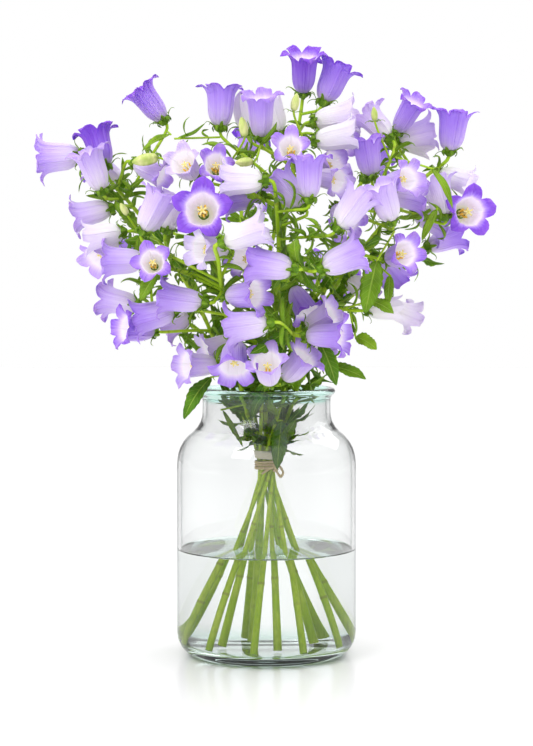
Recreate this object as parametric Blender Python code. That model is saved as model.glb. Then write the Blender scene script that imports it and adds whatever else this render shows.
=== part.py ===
"""Canterbury bells in a glass vase: the CAD source, one closed solid an object.

The layout works in millimetres and the objects are made in metres, with Z up and the vase on z = 0.
"""
import math

import bmesh
import bpy
import numpy as np
from mathutils.bvhtree import BVHTree

# ---------------------------------------------------------------- layout, in millimetres
# Where each bell, stem, stalk and leaf is. x is right, y is away from the viewer, z is up.

VIEWER = (0.0, -1735.0, 349.0)          # the eye that the table of bells was measured from
CROWN = (215.0, 150.0, 160.0)           # half sizes of the egg that the bells lie on
CROWN_MIDDLE = 400.0                    # its height
TUBE = 36.0                             # from the calyx to the throat of a bell of size 1
STEM_RING = ((9, 63.0, 6.7, 20.0), (4, 34.0, 2.8, 15.0))   # count, foot radius, tie radius, start
FOOT_Z, TIE_Z, NECK_Z = 11.9, 178.0, 246.0
TWIST = 100.0                           # degrees from the foot of a stem to the tie
CLEAR = 0.6
WATER_Z = 100.0
SEED, SPREAD, SPREAD_STEPS, LEAF_TRIES = 7, 0.92, 200, 1500
NODES_OF_BELLS, GROUP_LIMIT = 41, 5

# x, z, layer (1 front, 0 edge, -1 back), heading in the picture, turn to the viewer,
# size, tone (0 white, 1 deep purple), flare
BELLS = (
    (-119, 532, 0.5, 128, 5, 1.0, .80, 1.0),
    (-40, 533, 0.5, 88, 0, 1.0, .60, 1.0),
    (-6, 526, 1.0, 91, 20, 1.05, .50, 1.0),
    (-23, 524, 0.3, 98, 0, 0.9, .02, 0.3),
    (16, 525, 0.2, 110, 0, 0.9, .05, 0.3),
    (34, 561, 0.8, 88, 25, 1.05, 1.0, 1.0),
    (72, 551, 0.3, 67, -5, 1.0, .75, 1.0),
    (142, 519, 0.8, 60, 25, 0.95, .70, 1.0),
    (173, 511, 0.6, 84, 8, 1.0, .70, 1.0),
    (91, 508, 0.3, 133, -20, 0.9, .25, 1.0),
    (100, 479, 0.6, 99, 12, 0.9, .60, 0.9),
    (69, 511, 0.5, 9, 10, 1.0, .08, 0.9),
    (63, 482, 0.8, 10, 0, 0.95, .03, 0.9),
    (75, 478, 0.2, -20, 20, 0.9, .40, 1.0),
    (26, 480, 0.8, 100, 75, 0.8, .45, 1.0),
    (41, 469, 1.0, 90, 5, 1.0, .55, 1.0),
    (67, 462, 0.5, 20, 40, 0.9, .38, 1.0),
    (70, 446, 0.6, -15, 40, 0.9, .30, 1.0),
    (154, 495, 0.1, 15, 0, 0.9, .25, 1.0),
    (150, 477, -0.3, -12, -10, 0.85, .05, 0.3),
    (139, 456, 0.9, 10, 50, 0.9, .42, 1.0),
    (106, 442, 0.9, 109, 15, 0.95, .30, 0.9),
    (141, 432, 0.6, -10, 5, 0.95, .45, 1.0),
    (158, 446, 0.3, 105, -10, 0.95, .20, 1.0),
    (191, 445, 0.2, -20, 20, 0.85, .05, 0.9),
    (195, 417, 0.8, 10, 80, 1.05, .95, 1.1),
    (173, 400, -0.35, -25, 0, 0.95, .40, 1.0),
    (133, 380, 0.9, 20, 62, 0.95, .60, 1.0),
    (124, 349, 0.4, -50, 0, 0.95, .60, 1.0),
    (87, 433, 0.95, 54, -5, 1.0, .25, 0.9),
    (80, 395, 0.7, -60, 55, 0.9, .45, 1.0),
    (85, 365, 1.0, 23, -5, 1.0, .40, 1.0),
    (122, 312, 0.6, 3, -5, 0.8, .00, 0.3),
    (-209, 468, 0.3, 183, -5, 1.05, .40, 1.1),
    (-163, 494, 0.3, 106, -8, 1.0, 1.0, 1.0),
    (-172, 461, 0.9, 110, 12, 1.05, .32, 1.0),
    (-180, 413, 0.3, 193, 0, 0.95, .30, 1.0),
    (-169, 390, 0.6, 190, 0, 0.9, .08, 0.8),
    (-161, 370, 0.5, 230, 35, 0.9, .30, 1.0),
    (-150, 369, 0.9, 180, 0, 1.0, .42, 1.0),
    (-106, 369, 1.0, 100, 80, 0.8, .60, 1.1),
    (-87, 466, 0.8, 130, 60, 0.85, .18, 0.9),
    (-96, 450, 0.4, -25, 20, 0.9, .42, 1.0),
    (-98, 433, 0.8, 62, 5, 1.0, .30, 1.0),
    (-66, 413, 1.0, 100, 84, 1.1, .95, 1.1),
    (-73, 379, 0.95, 180, 40, 0.95, .15, 1.0),
    (-81, 424, 0.3, 75, 0, 0.9, .22, 0.9),
    (-101, 341, 0.9, 172, -5, 1.05, .50, 1.0),
    (-123, 317, 0.8, 193, 5, 1.0, .52, 1.0),
    (-138, 307, 0.5, 172, 30, 0.95, .65, 1.0),
    (-98, 303, 0.1, 215, 0, 0.8, .35, 1.0),
    (-78, 274, 0.8, 180, 30, 0.95, .35, 1.0),
    (-27, 264, 1.4, -92, 42, 1.0, .55, 1.1),
    (-2, 281, 1.1, 100, 46, 0.9, .32, 1.0),
    (38, 284, 0.8, 50, 24, 0.95, .42, 1.0),
    (73, 303, 0.9, 0, 20, 1.0, .60, 1.0),
    (-36, 311, 1.0, 188, -12, 1.0, .35, 1.0),
    (-3, 346, 1.0, 5, 38, 1.0, .52, 1.0),
    (-9, 379, 1.0, 172, -10, 1.0, .50, 1.0),
    (-27, 375, 0.6, 170, 45, 0.9, .42, 1.0),
    (6, 415, 1.0, 20, 5, 1.05, .12, 1.0),
    (7, 432, 0.8, 132, -5, 1.0, .38, 1.0),
    (-47, 463, 0.8, 90, 78, 0.85, .58, 1.0),
    (-40, 447, 0.9, 180, -5, 0.95, .12, 0.9),
    (-39, 429, 0.3, 187, 5, 0.95, .50, 1.0),
    (40, 321, 0.45, -60, 30, 0.9, .70, 1.0),
    (63, 323, 0.7, 30, 25, 0.85, .35, 1.0),
    (92, 333, 0.2, -30, 0, 0.85, .12, 0.8),
    (50, 287, 0.05, -70, 30, 0.85, .42, 1.0),
    (-57, 288, 0.3, 200, 20, 0.85, .20, 1.0),
)
BACK_BELLS = 12

# base x, z, tip x, z, depth, width, bow of the leaves that stand out in the photograph
LEAVES = (
    (-52, 262, -78, 222, -28, 14, 10), (-41, 232, -22, 194, -22, 5, 2), (14, 222, 10, 174, -20, 16, 3),
    (50, 296, 66, 254, -48, 15, 5), (62, 272, 94, 260, -22, 12, 4), (84, 300, 104, 288, -34, 13, 3),
    (104, 372, 93, 322, -96, 19, 6), (98, 334, 120, 322, -70, 12, 3), (116, 358, 114, 329, -60, 9, 3),
    (160, 420, 146, 390, -60, 8, 4), (155, 458, 175, 420, -50, 7, 8), (-104, 358, -119, 334, -92, 12, 3),
    (-90, 490, -117, 474, -50, 6, 5), (-85, 486, -57, 501, -55, 4, -5),
)

# x, z, depth, heading, turn, length of the closed buds
BUDS = ((-114, 466, -60, 190, 0, 24), (-21, 464, -120, 185, 20, 17), (-22, 497, -100, 100, 10, 18),
        (27, 520, -90, 80, 10, 16), (101, 509, -40, 95, 0, 13), (-134, 420, -60, 120, 0, 13),
        (116, 415, -90, 80, 20, 13))


def unit(v):
    v = np.asarray(v, float)
    return v / max(np.linalg.norm(v), 1e-9)


def seen(x, z, y):
    """The point at depth y on the viewer's line through (x, 0, z)."""
    k = (y - VIEWER[1]) / -VIEWER[1]
    return np.stack([x * k, y + 0.0 * x, VIEWER[2] + (z - VIEWER[2]) * k], -1)


def crown_depth(x, z):
    """How far the crown bulges to the viewer at (x, z)."""
    inside = 1.0 - (x / CROWN[0]) ** 2 - ((z - CROWN_MIDDLE) / CROWN[2]) ** 2
    return CROWN[1] * np.sqrt(np.maximum(inside, 0.03))


def axis_of(heading, turn):
    """A unit vector from its angle in the picture and its turn to the viewer, in degrees."""
    a, t = np.radians(heading), np.radians(turn)
    return np.stack([np.cos(t) * np.cos(a), -np.sin(t), np.cos(t) * np.sin(a)], -1)


def frame_of(axis):
    """Two unit vectors square to an axis."""
    side = unit(np.cross(axis, (0.31, 0.77, 0.55)))
    return side, np.cross(axis, side)


def back_bells(rng):
    """Seeded bells for the side that the photograph doesn't show."""
    rows = []
    for k in range(BACK_BELLS):
        turn, rise = 2.399963 * k + 0.4, -0.62 + 1.35 * (k + 0.5) / BACK_BELLS
        wide = math.sqrt(1.0 - rise * rise) * 0.86
        x, y = wide * math.cos(turn), abs(wide * math.sin(turn)) * 0.9 + 0.1
        spot = np.array([x * CROWN[0], y * CROWN[1], CROWN_MIDDLE + rise * CROWN[2] * 0.9])
        axis = unit(np.array([x, y * 1.2, rise + 0.35]) + rng.normal(0, 0.2, 3))
        rows.append((spot, axis, rng.uniform(0.88, 1.0), rng.choice([0.1, 0.35, 0.5, 0.6, 0.9]), 1.0))
    return rows


def bell_balls(mouth, axis, size, flare):
    """Balls that cover the tube and the lobes of each bell: middles (n, k, 3) and radii (n, k)."""
    base = mouth - axis * (TUBE * size)[:, None]
    middles, radii = [], []
    for along, radius in ((-6.0, 5.5), (5.0, 8.5), (13.0, 12.0), (22.0, 13.0), (31.0, 14.0)):
        middles.append(base + axis * (along * size)[:, None])
        radii.append(radius * size)
    sides = [frame_of(a) for a in axis]
    for k in range(8):
        turn = math.tau * k / 8
        out = np.array([s[0] * math.cos(turn) + s[1] * math.sin(turn) for s in sides])
        reach = (12.0 + 7.0 * np.minimum(flare, 1.0)) * size
        middles.append(mouth + axis * (1.5 * size)[:, None] + out * reach[:, None])
        radii.append(4.6 * size)
    return np.stack(middles, 1), np.stack(radii, 1)


def place_bells(rng):
    """Put the bells on the crown and spread them in depth till they hardly cross."""
    table = np.array(BELLS, float)
    x, z = table[:, 0], table[:, 1]
    y = -table[:, 2] * crown_depth(x, z)
    axis = axis_of(table[:, 3], table[:, 4])
    size, tone, flare = table[:, 5], table[:, 6], table[:, 7]
    for spot, way, s, t, f in back_bells(rng):
        k = (spot[1] - VIEWER[1]) / -VIEWER[1]
        x, y = np.append(x, spot[0] / k), np.append(y, spot[1])
        z = np.append(z, VIEWER[2] + (spot[2] - VIEWER[2]) / k)
        axis = np.vstack([axis, way])
        size, tone, flare = np.append(size, s), np.append(tone, t), np.append(flare, f)
    count = len(x)
    front = y.copy()
    slack = np.where(np.arange(count) < len(table), 4.0, 28.0)
    dx, dz = np.zeros(count), np.zeros(count)
    for step in range(SPREAD_STEPS):
        mouth = seen(x + dx, z + dz, y)
        middles, radii = bell_balls(mouth, axis, size, flare)
        k = middles.shape[1]
        flat = middles.reshape(-1, 3)
        square = (flat * flat).sum(1)
        gap = np.sqrt(np.maximum(square[:, None] + square[None] - 2.0 * flat @ flat.T, 0.0))
        gap -= SPREAD * (radii.reshape(-1)[:, None] + radii.reshape(-1)[None])
        deep = np.maximum(-gap.reshape(count, k, count, k).min(axis=(1, 3)), 0.0)
        np.fill_diagonal(deep, 0.0)
        order = np.sign((front[:, None] - front[None]) + 0.4 * (y[:, None] - y[None]) + 1e-6)
        y = y + 0.16 * (deep * order).sum(1)
        middle = middles[:, :5].mean(1)
        away = middle[:, None] - middle[None]
        away /= np.linalg.norm(away, axis=2, keepdims=True) + 1e-6
        push = 0.10 * (deep[:, :, None] * away).sum(1)
        dx = np.clip(dx + push[:, 0], -slack, slack)
        dz = np.clip(dz + push[:, 2], -slack, slack)
        y = np.clip(y, -CROWN[1] * 1.12, CROWN[1] * 1.12)
    mouth = np.round(seen(x + dx, z + dz, y), 3)
    bells = dict(mouth=mouth, axis=axis, size=size, tone=tone, flare=flare,
                 spin=rng.uniform(0.0, 72.0, count))
    draw_together(bells)
    bells["base"] = bells["mouth"] - axis * (TUBE * size)[:, None]
    return bells


def grid_rings(rings, faces, low, high):
    """Join two rings of the same number of points, or of 5 and 10."""
    a, b = rings[low], rings[high]
    if len(a) > len(b):
        turned = []
        grid_rings([b, a], turned, 0, 1)
        faces += [f[::-1] for f in turned]
        return
    if len(a) == len(b):
        for k in range(len(a)):
            n = (k + 1) % len(a)
            faces += [f for f in ([a[k], a[n], b[n]], [a[k], b[n], b[k]]) if len(set(f)) == 3]
        return
    for k in range(5):
        n = (k + 1) % 5
        left, mid, right = b[2 * k], b[2 * k + 1], b[(2 * k + 2) % 10]
        faces += [[a[k], mid, left], [a[k], a[n], mid], [a[n], right, mid]]


def bell(base, axis, size, flare, spin):
    """One bell with its five lobes."""
    side, across = frame_of(axis)
    open_out = max(flare, 0.45)
    tip_r, gap_r = 11.6 + 12.0 * min(open_out, 1.0), 12.4 + 4.2 * min(open_out, 1.0)
    throat = 11.4 + 2.2 * min(open_out, 1.0)
    tip_z = 39.5 - 2.5 * max(flare - 0.9, 0.0) / 0.2
    shape = [(5, 4.6, 4.6, 1.2, 1.2), (5, 12.4, 12.4, 8.5, 8.5), (5, throat + 0.8, throat, 29.0, 29.0),
             (10, tip_r, gap_r, tip_z, 34.5), (10, tip_r, gap_r - 0.9, tip_z, 35.2),
             (5, throat - 1.0, throat - 1.0, 29.8, 29.8)]
    points, rings, faces = [], [], []

    def put(r, z, turn):
        out = side * math.cos(turn) + across * math.sin(turn)
        points.append(base + (out * r + axis * z) * size)
        return len(points) - 1

    start = math.radians(spin)
    for count, r_tip, r_gap, z_tip, z_gap in shape:
        ring = []
        for k in range(count):
            tip = count == 5 or k % 2 == 0
            if len(rings) == 4 and tip:
                ring.append(rings[3][k])
                continue
            ring.append(put(r_tip if tip else r_gap, z_tip if tip else z_gap, start + math.tau * k / count))
        rings.append(ring)
    bottom, inside = put(0.0, 0.5, 0.0), put(0.0, 7.0, 0.0)
    for k in range(5):
        faces.append([rings[0][(k + 1) % 5], rings[0][k], bottom])
    for low in range(5):
        grid_rings(rings, faces, low, low + 1)
    for k in range(5):
        faces.append([rings[5][k], rings[5][(k + 1) % 5], inside])
    return points, faces


def bell_shapes(bells):
    """The faceted bells with their middles."""
    base = bells["mouth"] - bells["axis"] * (TUBE * bells["size"])[:, None]
    shapes = [bell(*row) for row in zip(base, bells["axis"], bells["size"], bells["flare"], bells["spin"])]
    return shapes, bells["mouth"] - bells["axis"] * 15.0


def tree_of(shape, move=(0.0, 0.0, 0.0)):
    return BVHTree.FromPolygons([tuple(np.add(p, move)) for p in shape[0]], shape[1], epsilon=0.0)


def touching(shapes, middles):
    """The number of the touching group that each bell is in."""
    trees = [tree_of(s) for s in shapes]
    group = np.arange(len(shapes))
    for i in range(len(shapes)):
        for j in range(i):
            if np.linalg.norm(middles[i] - middles[j]) < 80.0 and trees[i].overlap(trees[j]):
                group[group == group[j]] = group[i]
    return group


def rear_gap(balls, radii, mine, shift):
    """How free the calyxes stay between some moved bells and the others."""
    moved = balls + np.where(mine, 1.0, 0.0)[:, None, None] * shift
    gaps = []
    for some, rest in ((mine, ~mine), (~mine, mine)):
        far = np.linalg.norm(moved[some, :1, None] - moved[rest].reshape(1, 1, -1, 3), axis=3)
        gaps.append((far[:, 0] - radii[some, :1] - radii[rest].reshape(1, -1)).min())
    return min(gaps)


def draw_together(bells):
    """Draw near neighbours together till their lobes cross, which leaves few enough nodes."""
    shapes, middles = bell_shapes(bells)
    group = touching(shapes, middles)
    balls, radii = bell_balls(bells["mouth"], bells["axis"], bells["size"], bells["flare"])
    count, k = radii.shape
    flat, size = balls.reshape(-1, 3), radii.reshape(-1)
    gap = np.linalg.norm(flat[:, None] - flat[None], axis=2) - size[:, None] - size[None]
    gap = gap.reshape(count, k, count, k).min(axis=(1, 3))
    pairs = sorted((round(float(gap[i, j]), 3), i, j) for i in range(count) for j in range(i))
    moved = np.zeros((count, 3))
    for space, i, j in pairs:
        if len(set(group)) <= NODES_OF_BELLS:
            break
        if group[i] == group[j] or (group == group[i]).sum() + (group == group[j]).sum() > GROUP_LIMIT:
            continue
        if (group == group[i]).sum() > (group == group[j]).sum():
            i, j = j, i
        mine = group == group[i]
        way = unit((middles[j] + moved[j]) - (middles[i] + moved[i]))
        still = tree_of(shapes[j], moved[j])
        now = balls + moved[:, None]
        for step in range(1, 21):
            if tree_of(shapes[i], moved[i] + way * step).overlap(still):
                shift = way * (step + 0.7)
                if rear_gap(now, radii, mine, shift) > min(rear_gap(now, radii, mine, 0.0), -0.5):
                    moved[mine] += shift
                    group[mine] = group[j]
                break
    bells["mouth"] = np.round(bells["mouth"] + moved, 3)


def curve_through(points, step):
    """A smooth line through some points, with a point about every step."""
    p = np.asarray(points, float)
    ends = np.vstack([2 * p[0] - p[1], p, 2 * p[-1] - p[-2]])
    line = [p[0]]
    for i in range(len(p) - 1):
        a, b, c, d = ends[i:i + 4]
        parts = max(2, int(round(np.linalg.norm(c - b) / step)))
        for j in range(1, parts + 1):
            t = j / parts
            line.append(0.5 * (2 * b + (c - a) * t + (2 * a - 5 * b + 4 * c - d) * t * t
                               + (3 * b - a - 3 * c + d) * t ** 3))
    return np.array(line)


def thin(line, parts):
    """The same line with a set number of even parts."""
    step = np.append(0.0, np.cumsum(np.linalg.norm(np.diff(line, axis=0), axis=1)))
    at = np.linspace(0.0, step[-1], parts + 1)
    return np.stack([np.interp(at, step, line[:, c]) for c in range(3)], 1)


def length_of(line):
    return float(np.linalg.norm(np.diff(line, axis=0), axis=1).sum())


def faceted(line, parts):
    """A line in few straight parts that still runs straight into its bell."""
    return np.round(np.vstack([thin(line[:-2], parts), line[-1]]), 3)


def dense(line, step=4.0):
    """Points along the straight parts of a line, and the way it runs at each."""
    points, ways = [], []
    for a, b in zip(line, line[1:]):
        parts = max(1, int(round(np.linalg.norm(b - a) / step)))
        for j in range(parts):
            points.append(a + (b - a) * j / parts)
            ways.append(unit(b - a))
    points.append(line[-1])
    ways.append(ways[-1])
    return np.array(points), np.array(ways)


def group_bells(bells, count):
    """Share the bells out among the stems by where their stalks come from."""
    anchor = bells["base"] - bells["axis"] * 22.0
    chosen = [int(np.argmin(anchor[:, 2]))]
    while len(chosen) < count:
        far = np.linalg.norm(anchor[:, None] - anchor[chosen][None], axis=2).min(1)
        chosen.append(int(np.argmax(far)))
    middle = anchor[chosen]
    for _ in range(40):
        near = np.linalg.norm(anchor[:, None] - middle[None], axis=2).argmin(1)
        middle = np.array([anchor[near == k].mean(0) if (near == k).any() else middle[k]
                           for k in range(count)])
    return near, middle, anchor


def stem_starts():
    """The foot, the point in the tie and the point in the neck of each stem."""
    starts = []
    for number, foot_r, tie_r, first in STEM_RING:
        for k in range(number):
            a = math.radians(first + 360.0 * k / number)
            b = a + math.radians(TWIST)
            foot = np.array([foot_r * math.cos(a), foot_r * math.sin(a), FOOT_Z])
            tie = np.array([tie_r * math.cos(b), tie_r * math.sin(b), TIE_Z])
            rise = (NECK_Z - TIE_Z) / (TIE_Z - FOOT_Z)
            neck = tie + (tie - foot) * rise
            starts.append((foot, tie, neck))
    return starts


def match_stems(starts, middle):
    """Give each stem the group it can reach with the least crossing."""
    def fan(p):
        return p[:2] / (p[2] - 150.0)

    cost = np.array([[np.linalg.norm(fan(n) - fan(m)) for m in middle] for _, _, n in starts])
    order = list(range(len(starts)))
    better = True
    while better:
        better = False
        for i in range(len(order)):
            for j in range(i):
                now = cost[i, order[i]] + cost[j, order[j]]
                if cost[i, order[j]] + cost[j, order[i]] < now - 1e-9:
                    order[i], order[j] = order[j], order[i]
                    better = True
    return order


def settle(line, balls, radii, reach, head, tail, steps):
    """Move the middle points of a faceted line till its straight parts are clear of the balls."""
    line = line.copy()
    for step in range(steps):
        push, weight = np.zeros_like(line), np.full((len(line), 1), 1e-6)
        for i in range(len(line) - 1):
            parts = max(2, int(np.linalg.norm(line[i + 1] - line[i]) / 4.0))
            t = ((np.arange(parts) + 0.5) / parts)[:, None]
            points = line[i] * (1 - t) + line[i + 1] * t
            away = points[:, None] - balls[None]
            far = np.linalg.norm(away, axis=2) + 1e-6
            deep = np.maximum(radii[None] + reach - far, 0.0)
            move = (away / far[:, :, None] * deep[:, :, None]).sum(1)
            push[i] += ((1 - t) * move).sum(0)
            push[i + 1] += (t * move).sum(0)
            hit = (deep.max(1) > 0.0)[:, None]
            weight[i] += ((1 - t) * hit).sum()
            weight[i + 1] += (t * hit).sum()
        move = push / np.maximum(weight, 0.7)
        size = np.linalg.norm(move, axis=1, keepdims=True)
        move *= np.minimum(1.0, 3.0 / np.maximum(size, 1e-6))
        smooth = np.zeros_like(line)
        smooth[1:-1] = 0.5 * (line[:-2] + line[2:]) - line[1:-1]
        move += smooth * (0.2 if step < steps - 8 else 0.03)
        move[:head] = 0.0
        move[len(line) - tail:] = 0.0
        line += move
        flat = np.linalg.norm(line[:, :2], axis=1)
        low = (line[:, 2] < 270.0) & (flat > 44.0)
        line[low, :2] *= (44.0 / flat[low])[:, None]
    return np.round(line, 3)


def route_stems(bells):
    """The stems as smooth lines, bent clear of the bells and of one another."""
    starts = stem_starts()
    near, middle, anchor = group_bells(bells, len(starts))
    order = match_stems(starts, middle)
    balls, radii = bell_balls(bells["mouth"], bells["axis"], bells["size"], bells["flare"])
    stems, top = [], []
    for k, (foot, tie, neck) in enumerate(starts):
        mine = np.flatnonzero(near == order[k])
        goal = middle[order[k]]
        far = ((anchor[mine] - neck) * unit(goal - neck)).sum(1)
        last = mine[int(np.argmax(far))]
        inner = np.array([0.0, 0.0, 372.0])
        via = inner + (goal - inner) * 0.66
        low = neck + (via - neck) * 0.33 + np.array([0, 0, 10.0])
        axis, base = bells["axis"][last], bells["base"][last]
        points = [neck, low, via, anchor[last], base - axis * 9.0, base - axis * 2.2]
        upper = curve_through(points, 9.0)
        stems.append(upper)
        top.append(int(last))
    stems = [faceted(upper, 9) for upper in stems]
    for turn in range(10):
        for k in range(len(stems)):
            own = np.arange(len(radii)) != top[k]
            crowd = np.vstack([dense(s, 5.0)[0] for j, s in enumerate(stems) if j != k])
            near = crowd[crowd[:, 2] > 250.0]
            all_balls = np.vstack([balls[own].reshape(-1, 3), near])
            all_radii = np.concatenate([radii[own].reshape(-1), np.full(len(near), 2.6)])
            stems[k] = settle(stems[k], all_balls, all_radii, 2.6, 1, 2, 14)
    return [np.vstack([foot, tie, upper]) for (foot, tie, _), upper in zip(starts, stems)], top


def tangents(line):
    move = np.gradient(line, axis=0)
    return move / np.maximum(np.linalg.norm(move, axis=1, keepdims=True), 1e-9)


def route_stalks(bells, stems, top):
    """A stalk for each other bell, from the stem point that reaches it most freely."""
    balls, radii = bell_balls(bells["mouth"], bells["axis"], bells["size"], bells["flare"])
    count = len(radii)
    ball_owner = np.repeat(np.arange(count), radii.shape[1])
    flat, flat_r = balls.reshape(-1, 3), radii.reshape(-1)
    spots, ways, owners = [], [], []
    for k, line in enumerate(stems):
        points, way = dense(line[2:])
        for i in range(1, len(points) - 4):
            if points[i, 2] > 258.0:
                spots.append(points[i])
                ways.append(way[i])
                owners.append(k)
    spots, ways, owners = np.array(spots), np.array(ways), np.array(owners)
    green = [dense(line[1:], 6.0)[0] for line in stems]
    green_owner = [np.full(len(points), k) for k, points in enumerate(green)]
    todo = [i for i in range(count) if i not in top]
    reach = {i: np.linalg.norm(spots - (bells["base"][i] - bells["axis"][i] * 16.0), axis=1).min()
             for i in todo}
    stalks = {}
    for i in sorted(todo, key=lambda b: reach[b]):
        others = ball_owner != i
        crowd, crowd_owner = np.vstack(green), np.concatenate(green_owner)
        near = np.linalg.norm(flat - bells["base"][i], axis=1) < 110.0
        keep = others & near
        best = best_stalk(bells["base"][i], bells["axis"][i], spots, ways, owners, flat[keep], flat_r[keep],
                          crowd, crowd_owner)
        k, line = best
        close = (crowd_owner != k) & (np.linalg.norm(crowd - bells["base"][i], axis=1) < 90.0)
        line = settle(line, np.vstack([flat[keep], crowd[close]]),
                      np.concatenate([flat_r[keep], np.full(close.sum(), 2.2)]), 2.0, 1, 2, 16)
        stalks[i] = (k, line)
        points = dense(line, 5.0)[0][1:]
        green.append(points)
        green_owner.append(np.full(len(points), k))
    return stalks


def best_stalk(base, axis, spots, ways, owners, balls, radii, crowd, crowd_owner):
    """The freest short way in three straight parts from a stem to a bell."""
    end, back = base - axis * 2.2, base - axis * 9.0
    gap = np.linalg.norm(spots - back, axis=1)
    near = np.argsort(gap)[:90]
    side, across = frame_of(axis)
    t = np.linspace(0.0, 1.0, 9)[:, None]
    best = None
    for j in near:
        root, way = spots[j], ways[j]
        span = back - root
        size = np.linalg.norm(span)
        a, b = frame_of(unit(span))
        lean = float(np.dot(span / size, way))
        if size < 9.0:
            continue
        foreign = crowd_owner != owners[j]
        walls = crowd[foreign & (np.linalg.norm(crowd - (root + back) / 2, axis=1) < size / 2 + 25.0)]
        for off_a, off_b in ((0, 0), (.22, 0), (-.22, 0), (0, .22), (0, -.22), (.4, 0), (-.4, 0), (0, .4), (0, -.4)):
            knee = root + span * 0.5 + (a * off_a + b * off_b) * size + way * 0.12 * size
            line = np.vstack([root + (knee - root) * t, knee + (back - knee) * t])
            line = line[2:]
            hit = np.maximum(2.2 - (np.linalg.norm(line[:, None] - balls[None], axis=2) - radii[None]).min(1), 0.0)
            cost = size * (1.0 + abs(off_a) + abs(off_b)) + 7.0 * hit.sum() + 30.0 * max(0.0, 0.3 - lean)
            if best is not None and cost > best[0]:
                continue
            if len(walls):
                hit = np.maximum(4.6 - np.linalg.norm(line[:, None] - walls[None], axis=2).min(1), 0.0)
                cost += 6.0 * hit.sum()
            if best is None or cost < best[0]:
                best = (cost, int(owners[j]), np.array([root, knee, back, end]))
    return best[1], np.round(best[2], 3)

class Space:
    """Balls that stand for what is placed already, each with its owner's number."""

    def __init__(self):
        self.middle, self.radius, self.owner = np.zeros((0, 3)), np.zeros(0), np.zeros(0, int)
        self.firm = np.zeros(0, bool)

    def add(self, points, radius, owner, firm=False):
        points = np.atleast_2d(points)
        self.middle = np.vstack([self.middle, points])
        self.radius = np.append(self.radius, np.broadcast_to(radius, len(points)))
        self.owner = np.append(self.owner, np.full(len(points), owner))
        self.firm = np.append(self.firm, np.full(len(points), firm))

    def room(self, points, radius, owner):
        """The smallest gap from some balls to anything that isn't the owner's."""
        points = np.atleast_2d(points)
        near = (self.owner != owner) & (np.abs(self.middle - points.mean(0)).max(1) < 75.0)
        if not near.any():
            return 50.0
        far = np.linalg.norm(points[:, None] - self.middle[near][None], axis=2)
        return float((far - self.radius[near][None] - np.reshape(radius, (-1, 1))).min())


def glass_room(points):
    """The gap from the points to the glass, its rim and the water below."""
    r, z = np.linalg.norm(points[:, :2], axis=1), points[:, 2]
    inside = np.minimum(54.0 - r, z - WATER_Z - 4.0)
    outside = np.where(z > 242.0, r - 66.5, r - np.interp(z, (170, 209, 222, 242), (87, 75, 64, 62)))
    gap = np.maximum(inside, outside)
    return float(np.where(z > 256.0, np.maximum(gap, z - 254.5), gap).min())


def fill_space(bells, stems, top, stalks):
    """Everything that leaves and sepals must stay clear of. Bells have numbers from 100."""
    space = Space()
    middle, radius = bell_balls(bells["mouth"], bells["axis"], bells["size"], bells["flare"])
    for i in range(len(radius)):
        space.add(middle[i], radius[i], 100 + i)
    for k, line in enumerate(stems):
        space.add(dense(line[1:])[0], 2.0, k, True)
    for owner, line in stalks.values():
        space.add(dense(line)[0], 1.5, owner, True)
    return space


def bell_owner(i, top, stalks):
    return top.index(i) if i in top else stalks[i][0]


def place_sepals(bells, top, stalks, space):
    """Five sepal tips a bell, each as reach and height along the bell, folded clear of the rest."""
    folds = ((14.5, 3.0), (15.5, -2.0), (13.0, -7.0), (9.5, -9.5), (6.5, -5.0))
    tips = []
    for i, size in enumerate(bells["size"]):
        axis, base = bells["axis"][i], bells["base"][i]
        side, across = frame_of(axis)
        owner = bell_owner(i, top, stalks)
        row = []
        for k in range(5):
            turn = math.radians(bells["spin"][i] + 36.0 + 72.0 * k)
            out = side * math.cos(turn) + across * math.sin(turn)
            for reach, rise in folds:
                tip = base + (out * reach + axis * rise) * size
                line = base + (tip - base) * np.array([[0.45], [0.75], [1.0]])
                near = (space.owner != 100 + i) & (space.owner != owner) & (np.abs(space.middle - tip).max(1) < 40.0)
                far = np.linalg.norm(line[:, None] - space.middle[near][None], axis=2) - space.radius[near]
                if not near.any() or (far.min(1) - (2.0, 1.6, 1.2)).min() > 0.0:
                    break
            row.append((reach, rise))
            space.add(line, (2.0, 1.6, 1.2), owner)
        tips.append(row)
    return tips


def leaf_line(leaf, parts):
    u = np.linspace(0.0, 1.0, parts)[:, None]
    return leaf["root"] + (leaf["tip"] - leaf["root"]) * u + leaf["lift"] * 4.0 * u * (1.0 - u)


def leaf_width(leaf, u):
    """Half the width of a blade at u, from its root to its tip."""
    return 0.5 * leaf["width"] * np.maximum(np.sin(math.pi * np.clip(u, 0, 1) ** 0.85), 0.0) ** 0.75


def leaf_balls(leaf):
    """Balls along a blade and its two sides."""
    u = np.linspace(0.0, 1.0, 9)
    line = leaf_line(leaf, 9)
    half = leaf_width(leaf, u)
    points = [line] + [line + leaf["side"] * (s * 0.62 * half)[:, None] for s in (-1, 1)]
    return np.vstack(points), np.concatenate([0.34 * half + 1.0] * 3)


def find_root(goal, space, least=5.0, tries=70):
    """The nearest green point that sees the goal, its owner and the way there."""
    green = np.flatnonzero(space.firm)
    gap = np.linalg.norm(space.middle[green] - goal, axis=1)
    for j in green[np.argsort(gap)][:tries * 3:3]:
        root, owner = space.middle[j], space.owner[j]
        if np.linalg.norm(goal - root) < least or root[2] < 200.0:
            continue
        line = root + (goal - root) * np.linspace(0.25, 1.0, 6)[:, None]
        if space.room(line, 1.3, owner) > CLEAR and glass_room(line) > 0.5:
            return owner, root
    return None


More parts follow.
